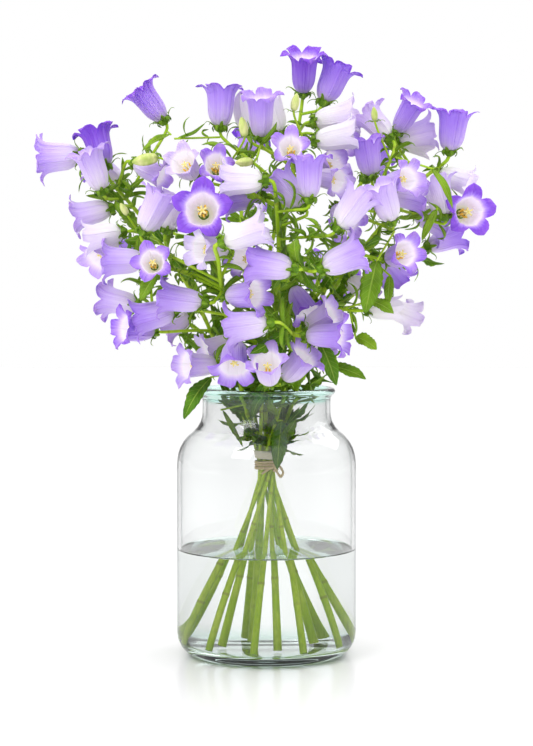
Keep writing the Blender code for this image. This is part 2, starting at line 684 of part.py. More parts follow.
def try_leaf(root, tip, lift, width, side, owner, space):
    leaf = dict(root=root, tip=tip, lift=lift, width=width, side=side, owner=int(owner), stem=None)
    points, radius = leaf_balls(leaf)
    if space.room(points, radius, owner) < CLEAR or glass_room(points) < 0.8:
        return None
    space.add(points, radius * 0.9, owner)
    return leaf


def hand_leaves(space):
    """The leaves that stand out in the photograph, each on the nearest green that reaches it."""
    leaves = []
    for x0, z0, x1, z1, y, width, bow in LEAVES:
        for shift in (0.0, -8.0, 8.0, -16.0, 16.0, 26.0, -26.0):
            root = seen(np.float64(x0), np.float64(z0), np.float64(y + shift))
            tip = seen(np.float64(x1), np.float64(z1), np.float64(y + shift - 6.0))
            way = unit(tip - root)
            side = unit(np.cross(way, unit(np.cross(way, (0.15, -0.9, 0.35)))))
            side = unit(np.cross(way, (0.0, -0.85, 0.5)))
            lift = unit(np.cross(side, way)) * bow
            found = find_root(root, space)
            if not found:
                continue
            leaf = try_leaf(root, tip, lift, width, side, found[0], space)
            if leaf:
                leaf["stem"] = found[1]
                line = found[1] + (root - found[1]) * np.linspace(0.0, 1.0, 6)[:, None]
                space.add(line, 1.3, found[0])
                leaves.append(leaf)
                break
    return leaves


def seeded_leaves(seed, lines, space, number, low, high, length, width, rise):
    """Leaves by a seeded rule on the stretches of green between two heights."""
    rng, leaves = np.random.default_rng(seed), []
    spots = []
    for owner, line in lines:
        points, ways = dense(line)
        spots += [(owner, p, w) for p, w in zip(points[1:-3], ways[1:-3]) if low <= p[2] < high]
    for _ in range(LEAF_TRIES):
        if len(leaves) >= number:
            break
        owner, root, along = spots[rng.integers(len(spots))]
        turn, up = rng.uniform(0, math.tau), rng.uniform(*rise)
        long, wide = rng.uniform(*length), rng.uniform(*width)
        bow = rng.uniform(0.04, 0.16) * long
        side, across = frame_of(along)
        out = side * math.cos(turn) + across * math.sin(turn)
        way = unit(out + along * up)
        blade = np.cross(way, unit(np.cross(way, np.cross(along, out))))
        blade = unit(np.cross(way, unit(np.cross(np.cross(along, out), way))))
        leaf = try_leaf(root, root + way * long, unit(np.cross(blade, way)) * bow, wide, blade, owner, space)
        if leaf:
            leaves.append(leaf)
    return leaves


def place_buds(space):
    """Closed buds: foot, axis, length, owner and the point their stalk leaves the green."""
    buds = []
    for x, z, y, heading, turn, size in BUDS:
        axis = axis_of(heading, turn)
        for shift in (0.0, -8.0, 8.0, -16.0, 16.0, 24.0, -24.0):
            foot = seen(np.float64(x), np.float64(z), np.float64(y + shift)) - axis * 0.5 * size
            body = foot + axis * size * np.linspace(0.1, 1.0, 5)[:, None]
            found = find_root(foot + axis * 2.5, space)
            if found and space.room(body, 0.24 * size + 0.6, -1) > CLEAR:
                space.add(body, 0.24 * size + 0.6, found[0])
                buds.append((foot, axis, size, int(found[0]), found[1]))
                break
    return buds


def lay_out():
    """The whole bunch."""
    rng = np.random.default_rng(SEED)
    bells = place_bells(rng)
    stems, top = route_stems(bells)
    stalks = route_stalks(bells, stems, top)
    space = fill_space(bells, stems, top, stalks)
    sepals = place_sepals(bells, top, stalks, space)
    leaves = hand_leaves(space)
    buds = place_buds(space)
    lines = [(k, line[1:]) for k, line in enumerate(stems)] + list(stalks.values())
    stems_only = lines[:len(stems)]
    leaves += seeded_leaves(SEED + 1, stems_only, space, 30, 205, 345, (34, 58), (9, 14), (0.5, 1.6))
    leaves += seeded_leaves(SEED + 2, lines, space, 46, 300, 560, (20, 38), (5, 8.5), (0.3, 1.4))
    return bells, stems, top, stalks, sepals, leaves, buds


# ---------------------------------------------------------------- the shapes, in millimetres

MM = 0.001
SIDES = 30
VASE_OUTER = ((0.0, 0.0), (69.0, 0.0), (79.5, 6.0), (85.0, 21.0), (85.0, 181.0), (83.4, 193.5),
              (76.8, 206.0), (66.5, 215.0), (60.6, 224.5), (60.6, 244.0), (64.9, 247.6), (63.2, 252.2))
VASE_INNER = ((58.4, 251.6), (56.6, 245.0), (56.8, 225.0), (63.0, 212.2), (73.6, 202.5), (80.2, 191.6),
              (81.4, 181.0), (81.4, 24.0), (76.6, 13.0), (66.0, 10.0), (0.0, 10.0))
WATER_SHAPE = ((0.0, 10.3), (65.9, 10.3), (76.3, 13.3), (81.05, 24.1), (81.05, 98.2), (78.5, 99.6), (0.0, 100.0))
TWINE_R, TWINE_RING, TWINE_PITCH, TWINE_LOW = 1.15, 10.3, 2.55, 173.7

LOOKS = {
    "glass": (0.80, 0.90, 0.88), "water": (0.74, 0.88, 0.84), "twine": (0.55, 0.42, 0.22),
    "band": (0.80, 0.76, 0.62), "green": (0.24, 0.42, 0.08), "white": (0.86, 0.84, 0.86),
    "lilac": (0.62, 0.50, 0.80), "purple": (0.42, 0.26, 0.66),
}


def material(look):
    name = "mat_" + look
    made = bpy.data.materials.new(name)
    made.use_nodes = True
    shader = made.node_tree.nodes["Principled BSDF"]
    shader.inputs["Base Color"].default_value = (*LOOKS[look], 1.0)
    shader.inputs["Roughness"].default_value = 0.1 if look in ("glass", "water") else 0.6
    made.diffuse_color = (*LOOKS[look], 1.0)
    return made


def to_object(name, points, faces, look=None):
    """An object in metres from points in millimetres."""
    mesh = bpy.data.meshes.new(name)
    mesh.from_pydata([tuple(float(c) * MM for c in p) for p in points], [], [tuple(f) for f in faces])
    mesh.update()
    obj = bpy.data.objects.new(name, mesh)
    bpy.context.scene.collection.objects.link(obj)
    if look:
        mesh.materials.append(material(look))
    return obj


def lathe(profile, sides):
    """A closed solid of revolution from (r, z) points whose first and last are on the axis."""
    points, rings = [], []
    for r, z in profile:
        if r == 0.0:
            rings.append([len(points)] * sides)
            points.append((0.0, 0.0, z))
            continue
        rings.append(list(range(len(points), len(points) + sides)))
        points += [(r * math.cos(math.tau * k / sides), r * math.sin(math.tau * k / sides), z)
                   for k in range(sides)]
    faces = []
    for low, high in zip(rings, rings[1:]):
        for k in range(sides):
            n = (k + 1) % sides
            face = [low[k], low[n], high[n], high[k]]
            face = [v for i, v in enumerate(face) if v != face[i - 1]]
            if len(face) > 2:
                faces.append(face)
    return points, faces


def tube(line, radius, sides, closed=False):
    """A tube along a line, with flat ends, its section carried along without twist."""
    line = np.asarray(line, float)
    radius = np.broadcast_to(radius, len(line))
    way = np.roll(line, -1, 0) - np.roll(line, 1, 0) if closed else tangents(line)
    way = way / np.linalg.norm(way, axis=1, keepdims=True)
    side = frame_of(way[0])[0]
    points, faces = [], []
    for p, w, r in zip(line, way, radius):
        side = unit(side - w * np.dot(side, w))
        across = np.cross(w, side)
        for k in range(sides):
            a = math.tau * k / sides
            points.append(p + (side * math.cos(a) + across * math.sin(a)) * r)
    count = len(line)
    for i in range(count if closed else count - 1):
        j = (i + 1) % count
        for k in range(sides):
            n = (k + 1) % sides
            faces.append([i * sides + k, i * sides + n, j * sides + n, j * sides + k])
    if not closed:
        faces.append(list(range(sides))[::-1])
        faces.append([(count - 1) * sides + k for k in range(sides)])
    return points, faces


def zip_rings(inner, outer, faces):
    """Join two rings of (angle, point number) pairs by their angles."""
    inner, outer = sorted(inner), sorted(outer)
    i = j = 0
    while i < len(inner) or j < len(outer):
        a, b = inner[i % len(inner)], outer[j % len(outer)]
        next_a = inner[(i + 1) % len(inner)][0] + math.tau * ((i + 1) // len(inner))
        next_b = outer[(j + 1) % len(outer)][0] + math.tau * ((j + 1) // len(outer))
        if j >= len(outer) or (i < len(inner) and next_a < next_b):
            faces.append([a[1], b[1], inner[(i + 1) % len(inner)][1]])
            i += 1
        else:
            faces.append([a[1], b[1], outer[(j + 1) % len(outer)][1]])
            j += 1


def stalk_and_star(line, radius, sides, base, axis, size, spin, tips):
    """A stalk that opens into the green star under its bell."""
    points, faces = tube(line, radius, sides)
    faces.pop()
    side, across = frame_of(axis)
    ends = []
    for number in range(len(points) - sides, len(points)):
        out = points[number] - line[-1]
        ends.append((math.atan2(np.dot(out, across), np.dot(out, side)) % math.tau, number))
    rim = []
    for k in range(5):
        turn = math.radians(spin + 36.0 + 72.0 * k)
        for reach, rise, swing in (tips[k] + (0.0,), (4.6, -0.9, math.radians(36.0))):
            out = side * math.cos(turn + swing) + across * math.sin(turn + swing)
            rim.append(((turn + swing) % math.tau, len(points)))
            points.append(base + (out * reach + axis * rise) * size)
    zip_rings(ends, rim, faces)
    points.append(base - axis * 0.15 * size)
    for k in range(10):
        faces.append([rim[k][1], rim[(k + 1) % 10][1], len(points) - 1])
    return points, faces


def spindle(foot, axis, size):
    """A closed bud."""
    side, across = frame_of(axis)
    points, faces = [foot], []
    for along, r in ((0.22, 0.2), (0.6, 0.23)):
        for k in range(5):
            a = math.tau * k / 5
            points.append(foot + (axis * along + (side * math.cos(a) + across * math.sin(a)) * r) * size)
    points.append(foot + axis * size)
    for k in range(5):
        n = (k + 1) % 5
        faces += [[1 + n, 1 + k, 0], [1 + k, 1 + n, 6 + n, 6 + k], [6 + k, 6 + n, 11]]
    return points, faces


def blade(leaf, rows):
    """A waved blade, split alike on both faces, with its root and its tip drawn to an edge."""
    line = leaf_line(leaf, rows + 2)
    half = leaf_width(leaf, np.linspace(0.0, 1.0, rows + 2))
    way = tangents(line)
    points, rings = [], []
    for i in range(rows + 2):
        face = unit(np.cross(leaf["side"], way[i]))
        wave = face * (0.9 if i % 2 else -0.5) * min(half[i] / 5.0, 1.0)
        row = [line[i]]
        if 0 < i < rows + 1:
            row = [line[i] - leaf["side"] * half[i] + wave, line[i], line[i] + leaf["side"] * half[i] - wave]
        rings.append(list(range(len(points), len(points) + len(row))))
        points += [p + face * 0.38 for p in row]
    count = len(points)
    for i in range(rows + 2):
        face = unit(np.cross(leaf["side"], way[i]))
        points += [points[n] - face * 0.76 for n in rings[i]]
    top = []
    for a, b in zip(rings, rings[1:]):
        if len(a) == 1:
            top += [[a[0], b[0], b[1]], [a[0], b[1], b[2]]]
        elif len(b) == 1:
            top += [[a[0], b[0], a[1]], [a[1], b[0], a[2]]]
        else:
            top += [[a[0], b[0], b[1]], [a[0], b[1], a[1]], [a[1], b[1], b[2]], [a[1], b[2], a[2]]]
    faces = top + [[n + count for n in f[::-1]] for f in top]
    edge = [r[0] for r in rings] + [r[-1] for r in rings[-2:0:-1]]
    for k, a in enumerate(edge):
        b = edge[(k + 1) % len(edge)]
        faces += [[b, a, a + count], [b, a + count, b + count]]
    return points, faces


# ---------------------------------------------------------------- joining and cleaning

def outward(obj):
    """Face every side outward and drop doubled points."""
    work = bmesh.new()
    work.from_mesh(obj.data)
    bmesh.ops.remove_doubles(work, verts=work.verts, dist=2e-6)
    bmesh.ops.dissolve_degenerate(work, dist=1e-6, edges=work.edges)
    bmesh.ops.triangulate(work, faces=work.faces)
    bmesh.ops.recalc_face_normals(work, faces=work.faces)
    if work.calc_volume(signed=True) < 0.0:
        bmesh.ops.reverse_faces(work, faces=work.faces)
    work.to_mesh(obj.data)
    work.free()
    return obj


def fewer(obj, angles):
    """Dissolve the flat splits that a union leaves, by the widest angle that keeps one clean skin.

    The stems in the vase stay as they are, because they pass close to one another.
    """
    for angle in angles:
        work = bmesh.new()
        work.from_mesh(obj.data)
        bmesh.ops.remove_doubles(work, verts=work.verts, dist=2e-6)
        high = [v for v in work.verts if v.co.z > 0.255]
        edges = [e for e in work.edges if min(v.co.z for v in e.verts) > 0.255]
        bmesh.ops.dissolve_limit(work, angle_limit=math.radians(angle), verts=high, edges=edges)
        bmesh.ops.triangulate(work, faces=work.faces)
        clean = all(e.is_manifold for e in work.edges) and all(v.is_manifold for v in work.verts)
        tree = BVHTree.FromBMesh(work, epsilon=0.0)
        pairs = sum(1 for a, b in tree.overlap(tree) if a < b and not shares_point(work, a, b))
        if clean and pairs == 0:
            work.to_mesh(obj.data)
            work.free()
            return
        work.free()
    print("not clean", obj.name, pairs)


def shares_point(work, a, b):
    work.faces.ensure_lookup_table()
    return bool(set(work.faces[a].verts) & set(work.faces[b].verts))


def fuse(name, parts, look, solver="MANIFOLD"):
    """One Boolean union of all the parts, as one object."""
    objects = [outward(to_object("%s_part_%d" % (name, i), *part)) for i, part in enumerate(parts)]
    first = objects[0]
    if len(objects) > 1:
        group = bpy.data.collections.new(name + "_parts")
        bpy.context.scene.collection.children.link(group)
        for obj in objects[1:]:
            group.objects.link(obj)
        change = first.modifiers.new("union", "BOOLEAN")
        change.operation, change.operand_type, change.collection = "UNION", "COLLECTION", group
        change.solver = solver
        if solver == "EXACT":
            change.use_self = True
        ready = first.evaluated_get(bpy.context.evaluated_depsgraph_get())
        mesh = bpy.data.meshes.new_from_object(ready)
        first.modifiers.clear()
        first.data = mesh
        for obj in objects[1:]:
            bpy.data.objects.remove(obj)
        bpy.data.collections.remove(group)
    first.name = name
    first.data.name = name
    first.data.materials.clear()
    first.data.materials.append(material(look))
    if len(objects) > 1:
        fewer(first, (1.0, 0.3, 0.05) if look == "green" else (0.4, 0.05))
    return outward(first)


# ---------------------------------------------------------------- the pieces

def crosses_itself(shape):
    """Whether two faces of a shape cross without sharing a point."""
    tree = BVHTree.FromPolygons([tuple(p) for p in shape[0]], shape[1], epsilon=0.0)
    return any(a < b and not set(shape[1][a]) & set(shape[1][b]) for a, b in tree.overlap(tree))


def stalk(line, star):
    """A stalk with its star, with fewer bends where a tight one would fold the tube into itself."""
    base, axis = star[0], star[1]
    ways = (line, line[[0, 2, 3]], line[[0, 1, 3]], np.array([line[0], line[1], base - axis * 3.4]),
            np.array([line[0], base - axis * 3.4]), line[[0, 3]])
    for way in ways:
        for radius in (1.45, 1.2):
            shape = stalk_and_star(way, radius, 3, *star)
            if not crosses_itself(shape):
                return shape
    print("folded stalk", star[0])
    return shape


def stem_radius(line):
    return np.interp(line[:, 2], (11.9, 145.0, 178.0, 246.0, 420.0, 560.0), (3.1, 1.75, 1.55, 1.85, 1.8, 1.5))


def with_waist(line):
    """A stem's line with one more point below the tie, where it thins."""
    return np.vstack([line[0], line[0] + (line[1] - line[0]) * 0.8, line[1:]])


def make_vase():
    outward(to_object("vase", *lathe(VASE_OUTER + VASE_INNER, SIDES), "glass"))


def make_water(stems):
    water = outward(to_object("water", *lathe(WATER_SHAPE, SIDES), "water"))
    cutters = []
    for k, line in enumerate(stems):
        way = unit(line[1] - line[0])
        path = np.array([line[0] - way * 6.0, line[0] + way * 118.0])
        cutters.append(outward(to_object("cut_%d" % k, *tube(path, (3.7, 2.6), 5))))
    group = bpy.data.collections.new("water_cuts")
    bpy.context.scene.collection.children.link(group)
    for obj in cutters:
        obj.hide_render, obj.display_type = True, "WIRE"
        group.objects.link(obj)
    change = water.modifiers.new("holes", "BOOLEAN")
    change.operation, change.operand_type, change.collection = "DIFFERENCE", "COLLECTION", group
    change.solver = "MANIFOLD"
    mesh = bpy.data.meshes.new_from_object(water.evaluated_get(bpy.context.evaluated_depsgraph_get()))
    water.modifiers.clear()
    water.data = mesh
    for obj in cutters:
        bpy.data.objects.remove(obj)
    bpy.data.collections.remove(group)
    outward(water)


def make_tie():
    """Three turns of twine with a knot, a loop and two ends, and the band above them."""
    turns, per = 3, 16
    coil = []
    for k in range(turns * per + 1):
        a = math.tau * k / per - 0.9
        coil.append((TWINE_RING * math.cos(a), TWINE_RING * math.sin(a), TWINE_LOW + TWINE_PITCH * k / per))
    a = -0.9
    knot = np.array([(TWINE_RING + 1.2) * math.cos(a), (TWINE_RING + 1.2) * math.sin(a), TWINE_LOW + 3.8])
    post = [knot + (0.2, -0.2, -4.4), knot + (0.4, -0.5, 0.0), knot + (0.2, -0.2, 4.4)]
    loop = curve_through([knot + (0, -0.8, 1), knot + (5, -2.5, 0), knot + (8.5, -2.5, -5), knot + (6.5, -2.0, -9),
                          knot + (3.6, -2.2, -6.5), knot + (1.2, -1.2, -1)], 3.5)
    tail = curve_through([knot + (0, -0.8, -1), knot + (-6, -3.2, -2.5), knot + (-11.5, -4.0, -6.5)], 5.0)
    fuse("binding_twine", [tube(coil, TWINE_R, 4), tube(post, 1.9, 5), tube(loop, 0.95, 4), tube(tail, 0.95, 4)],
         "twine")
    wall = [(10.1, 183.6), (10.75, 183.4), (12.2, 190.0), (11.55, 190.2)]
    points, faces = [], []
    for k in range(16):
        a = math.tau * k / 16
        points += [(r * math.cos(a), r * math.sin(a), z) for r, z in wall]
        n = (k + 1) % 16
        faces += [[4 * k + i, 4 * n + i, 4 * n + (i + 1) % 4, 4 * k + (i + 1) % 4] for i in range(4)]
    outward(to_object("binding_band", points, faces, "band"))


def make_green(bells, stems, top, stalks, sepals, leaves, buds):
    """A node for each leafy stem with its stalks, stars, leaves and buds."""
    for k, line in enumerate(stems):
        parts = []
        for i in range(len(bells["size"])):
            if bell_owner(i, top, stalks) != k:
                continue
            star = (bells["base"][i], bells["axis"][i], bells["size"][i], bells["spin"][i], sepals[i])
            if i == top[k]:
                path = with_waist(line)
                parts.insert(0, stalk_and_star(path, stem_radius(path), 5, *star))
            else:
                parts.append(stalk(stalks[i][1], star))
        for leaf in leaves:
            if leaf["owner"] == k:
                parts.append(blade(leaf, 2 if leaf["width"] > 9.5 else 1))
                if leaf["stem"] is not None:
                    way = unit(leaf["root"] - leaf["stem"])
                    parts.append(tube([leaf["stem"], leaf["root"] + way * 1.2], 1.15, 3))
        for foot, axis, size, owner, root in buds:
            if owner == k:
                parts.append(spindle(foot, axis, size))
                parts.append(tube([root, foot + axis * 2.5], 1.1, 3))
        fuse("stem_%02d" % (k + 1), parts, "green")


def make_bells(bells):
    """A node for each group of bells that touch."""
    shapes, middles = bell_shapes(bells)
    number = touching(shapes, middles)
    groups = [np.flatnonzero(number == g) for g in sorted(set(number))]
    groups.sort(key=lambda g: (round(float(middles[g].mean(0)[0]) / 40.0), float(middles[g].mean(0)[2])))
    for n, group in enumerate(groups):
        tone = float(np.mean(bells["tone"][group]))
        look = "white" if tone < 0.2 else "lilac" if tone < 0.7 else "purple"
        fuse("bells_%02d" % (n + 1), [shapes[i] for i in group], look)
    return groups


def main():
    for obj in list(bpy.data.objects):
        bpy.data.objects.remove(obj)
    bells, stems, top, stalks, sepals, leaves, buds = lay_out()
    make_vase()
    make_water(stems)
    make_tie()
    make_green(bells, stems, top, stalks, sepals, leaves, buds)
    groups = make_bells(bells)
    print("bells", len(bells["size"]), "groups", len(groups), "leaves", len(leaves), "buds", len(buds))
    total = 0
    for obj in bpy.data.objects:
        total += len(obj.data.polygons)
    print("objects", len(bpy.data.objects), "triangles", total)


main()
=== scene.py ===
"""Canterbury bells in a glass jar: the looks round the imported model. All tables are in millimetres."""

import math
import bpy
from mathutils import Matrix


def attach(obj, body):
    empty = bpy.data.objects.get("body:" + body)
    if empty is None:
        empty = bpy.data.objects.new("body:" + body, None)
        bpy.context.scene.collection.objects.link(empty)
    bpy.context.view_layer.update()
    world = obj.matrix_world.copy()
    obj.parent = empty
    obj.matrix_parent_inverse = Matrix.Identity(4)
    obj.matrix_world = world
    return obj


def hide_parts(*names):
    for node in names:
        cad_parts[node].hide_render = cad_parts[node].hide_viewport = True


bl_info = {
    "name": "Canterbury bells in a jar",
    "version": (1, 0, 0),
    "blender": (4, 5, 0),
    "location": "3D View > Sidebar > Bells",
    "description": "Builds the bells, the leafy stems, the tie, the water and the jar round the packed model",
    "category": "Object",
}

import bmesh
import bpy
import numpy as np
from bpy.props import FloatProperty, FloatVectorProperty, IntProperty, PointerProperty
from mathutils import Matrix, Vector

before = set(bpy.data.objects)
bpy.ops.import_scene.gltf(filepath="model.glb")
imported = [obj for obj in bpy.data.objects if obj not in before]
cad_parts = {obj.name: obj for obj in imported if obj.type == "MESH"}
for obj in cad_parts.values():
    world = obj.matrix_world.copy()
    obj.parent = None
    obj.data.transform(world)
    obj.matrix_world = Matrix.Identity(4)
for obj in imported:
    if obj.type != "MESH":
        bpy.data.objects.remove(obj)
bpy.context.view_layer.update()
MM = 0.001


def table(columns, text):
    """Rows of numbers from text."""
    return np.array(text.split(), float).reshape(-1, columns)


# node, mouth x y z and heading, turn in tenths, size and tone in hundredths, flare in tenths,
# spin in degrees, and how far each of the five sepals folds back
BELLS = table(11, """
10 -1181 -130 5306 1280 50 100 80 10 23 00000  23 -410 -432 5289 880 0 100 60 10 11 00000
22 -57 -924 5166 910 200 105 50 10 59 00000  23 -220 -252 5215 980 0 90 2 3 27 00000
23 7 -157 5202 1100 0 90 5 3 70 00000  30 349 -288 5614 880 250 105 100 10 42 00200
30 667 -99 5519 670 -50 100 75 10 44 00002  41 1368 -288 5188 600 250 95 70 10 46 00400
41 1745 -128 5090 840 80 100 70 10 49 00002  33 920 -322 5055 1330 -200 90 25 10 11 00000
33 898 -701 4787 990 120 90 60 9 32 00000  33 792 -469 5044 90 100 100 8 9 17 00000
33 770 -693 4843 100 0 95 3 9 29 00000  33 764 -209 4775 -200 200 90 40 10 7 00000
29 206 -1122 4712 1000 750 80 45 10 70 00000  29 372 -1356 4595 900 50 100 55 10 15 00002
28 644 -552 4606 200 400 90 38 10 48 00000  28 666 -839 4411 -150 400 90 30 10 22 00030
38 1539 -36 4932 150 0 90 25 10 63 00004  38 1526 227 4798 -120 -100 85 5 3 48 00000
32 1280 -998 4438 100 500 90 42 10 9 00000  32 999 -1107 4362 1090 150 95 30 9 61 00000
40 1435 -554 4264 -100 50 95 45 10 68 00000  40 1553 -283 4442 1050 -100 95 20 10 65 03300
40 1887 -121 4433 -200 200 85 5 9 41 00000  40 1871 -486 4164 100 800 105 95 11 10 00000
39 1712 171 4045 -250 0 95 40 10 14 00000  36 1250 -1047 3781 200 620 95 60 10 67 00000
35 1208 -451 3490 -500 0 95 60 10 40 00000  32 829 -1262 4274 540 -50 100 25 9 13 01300
28 720 -950 4022 -600 550 90 45 10 64 00010  32 807 -1320 3772 230 -50 100 40 10 46 00000
35 1205 -518 3273 30 -50 80 0 3 41 00000  1 -2111 -57 4678 -1770 -50 105 40 11 27 00004
7 -1594 -162 4928 1060 -80 100 100 10 30 00000  7 -1637 -469 4704 1100 120 105 32 10 17 00000
5 -1775 -243 4121 -1670 0 95 30 10 3 00000  3 -1617 -662 3909 -1700 0 90 8 8 63 00000
3 -1577 -447 3706 -1300 350 90 30 10 34 00000  3 -1448 -889 3709 1800 0 100 42 10 39 00000
8 -997 -1345 3698 1000 800 80 60 11 23 01000  15 -755 -989 4593 1300 600 85 18 9 54 00000
13 -934 -512 4475 -250 200 90 42 10 2 00000  12 -921 -1039 4280 620 50 100 30 10 27 00000
15 -560 -1451 4149 1000 840 110 95 11 2 00000  15 -609 -1287 3804 1800 400 95 15 10 9 00000
13 -832 -413 4304 750 0 90 22 9 70 00000  8 -925 -1024 3390 1720 -50 105 50 10 47 00000
8 -1177 -760 3184 -1670 50 100 52 10 31 00000  8 -1334 -500 3103 1720 300 95 65 10 38 00000
11 -950 -45 3038 -1450 0 80 35 10 63 00000  14 -761 -630 2758 1800 300 95 35 10 25 00030
17 -292 -987 2713 -920 420 100 55 11 43 00000  17 -4 -1176 2839 1000 460 90 32 10 49 00002
24 362 -798 2870 500 240 95 42 10 26 00000  26 692 -1032 3036 0 200 100 60 10 37 00020
18 -322 -1167 3109 -1720 -120 100 35 10 55 01300  18 -64 -1275 3417 50 380 100 52 10 65 40000
18 -118 -1429 3676 1720 -100 100 50 10 11 00000  19 -256 -882 3737 1700 450 90 42 10 67 00000
18 -18 -1558 3983 200 50 105 12 10 0 00000  29 82 -1102 4438 1320 -50 100 38 10 54 02000
15 -451 -1043 4565 900 780 85 58 10 58 00000  15 -361 -1294 4393 1800 -50 95 12 9 10 00014
16 -380 -435 4270 -1730 50 95 50 10 30 00000  27 386 -570 3220 -600 300 90 70 10 59 00000
26 602 -831 3248 300 250 85 35 10 1 00020  35 1003 -301 3389 -300 0 85 12 8 45 00000
25 499 -50 2872 -700 300 85 42 10 57 00000  14 -579 -310 2875 -1600 200 85 20 10 37 00000
34 1407 523 3188 -223 -341 91 10 10 52 00000  2 -1555 497 3350 1697 -236 98 35 10 16 00000
31 815 1115 3512 180 -749 91 90 10 14 00000  31 517 1221 3639 -353 -775 98 50 10 26 00000
4 -1542 777 3836 -1731 -182 90 90 10 13 00000  39 1849 444 3960 190 -177 94 60 10 25 00000
9 -1130 1060 4160 1426 -464 94 35 10 68 00000  20 -142 1278 4322 951 -634 90 35 10 41 00000
37 1274 895 4484 635 -363 90 50 10 24 00000  6 -1646 173 4644 1434 -86 96 35 10 20 00000
37 1150 797 4785 535 -136 94 60 10 69 00000  21 -131 1004 4970 666 -482 93 90 10 32 00000
""")
# stem, x y z in tenths of a millimetre, from the foot up to the bell at its end
STEM_POINTS = table(4, """
0 592 215 119  0 -33 58 1780  0 -290 -6 2460  0 -400 -19 2743  0 -511 -31 3023  0 -632 -41 3297  0 -779 -50 3554
0 -934 -55 3802  0 -1102 -59 4037  0 -1282 -62 4261  0 -1476 -61 4475  0 -1646 -98 4702  0 -1713 -92 4699
1 315 546 119  1 -63 23 1780  1 -218 -191 2460  1 -259 -299 2665  1 -299 -412 2863  1 -334 -535 3048
1 -364 -670 3215  1 -387 -819 3363  1 -403 -981 3495  1 -414 -1153 3612  1 -417 -1332 3721  1 -457 -1517 3824
1 -393 -1523 3847  2 -109 620 119  2 -63 -23 1780  2 -44 -286 2460  2 -28 -326 2571  2 -10 -369 2676
2 12 -419 2772  2 40 -476 2855  2 75 -543 2923  2 116 -618 2977  2 165 -699 3020  2 219 -783 3061
2 269 -878 3036  2 333 -902 3036  3 -483 405 119  3 -34 -58 1780  3 150 -248 2460  3 176 -250 2623
3 206 -253 2783  3 241 -256 2935  3 286 -260 3076  3 341 -264 3204  3 407 -271 3317  3 485 -279 3417
3 570 -289 3505  3 660 -301 3587  3 719 -301 3553  4 -630 0 119  4 12 -66 1780  4 274 -93 2460  4 317 -165 2699
4 368 -232 2935  4 437 -277 3163  4 515 -329 3385  4 602 -388 3600  4 698 -454 3807  4 800 -526 4006
4 908 -602 4200  4 1018 -680 4392  4 1061 -733 4399  5 -483 -405 119  5 51 -43 1780  5 270 105 2460
5 351 132 2661  5 438 159 2856  5 537 185 3040  5 651 209 3210  5 784 232 3362  5 935 254 3497  5 1102 275 3617
5 1280 295 3725  5 1465 314 3827  5 1526 335 3848  6 -109 -620 119  6 67 0 1780  6 139 254 2460  6 212 283 2694
6 287 314 2927  6 364 349 3158  6 445 390 3384  6 529 439 3606  6 618 494 3822  6 710 557 4034  6 805 625 4243
6 902 696 4449  6 941 712 4503  7 315 -546 119  7 51 43 1780  7 -57 284 2460  7 -98 314 2716  7 -138 346 2972
7 -173 380 3226  7 -203 419 3479  7 -225 464 3729  7 -239 513 3978  7 -245 568 4224  7 -246 627 4468
7 -243 688 4711  7 -225 739 4753  8 592 -215 119  8 12 66 1780  8 -226 181 2460  8 -299 167 2604  8 -377 156 2742
8 -460 152 2868  8 -553 156 2979  8 -657 171 3070  8 -771 196 3143  8 -894 231 3199  8 -1023 274 3242
8 -1157 320 3278  8 -1218 348 3289  9 328 88 119  9 -12 25 1780  9 -151 0 2460  9 -125 -53 2743  9 -96 -107 3024
9 -61 -166 3300  9 -18 -232 3568  9 36 -306 3827  9 101 -390 4075  9 175 -484 4313  9 258 -586 4543
9 345 -693 4768  9 412 -693 4780  10 -88 328 119  10 -25 -12 1780  10 0 -151 2460  10 31 -281 2691
10 60 -411 2921  10 83 -542 3146  10 101 -674 3367  10 110 -807 3583  10 110 -939 3792  10 102 -1071 3996
10 87 -1202 4196  10 69 -1332 4393  10 2 -1326 4393  11 -328 -88 119  11 12 -25 1780  11 151 0 2460
11 251 -36 2757  11 372 -63 3047  11 539 -57 3312  11 710 -54 3567  11 889 -55 3812  11 1075 -60 4045
11 1268 -69 4268  11 1460 -85 4492  11 1698 -65 4647  11 1705 -75 4714  12 88 -328 119  12 25 12 1780
12 0 151 2460  12 30 117 2766  12 61 83 3072  12 94 51 3378  12 128 21 3682  12 165 -6 3986  12 205 -30 4288
12 246 -52 4589  12 290 -72 4890  12 334 -90 5190  12 336 -119 5252
""")
TOP_BELLS = (33, 60, 55, 67, 20, 75, 80, 81, 71, 12, 63, 8, 5)
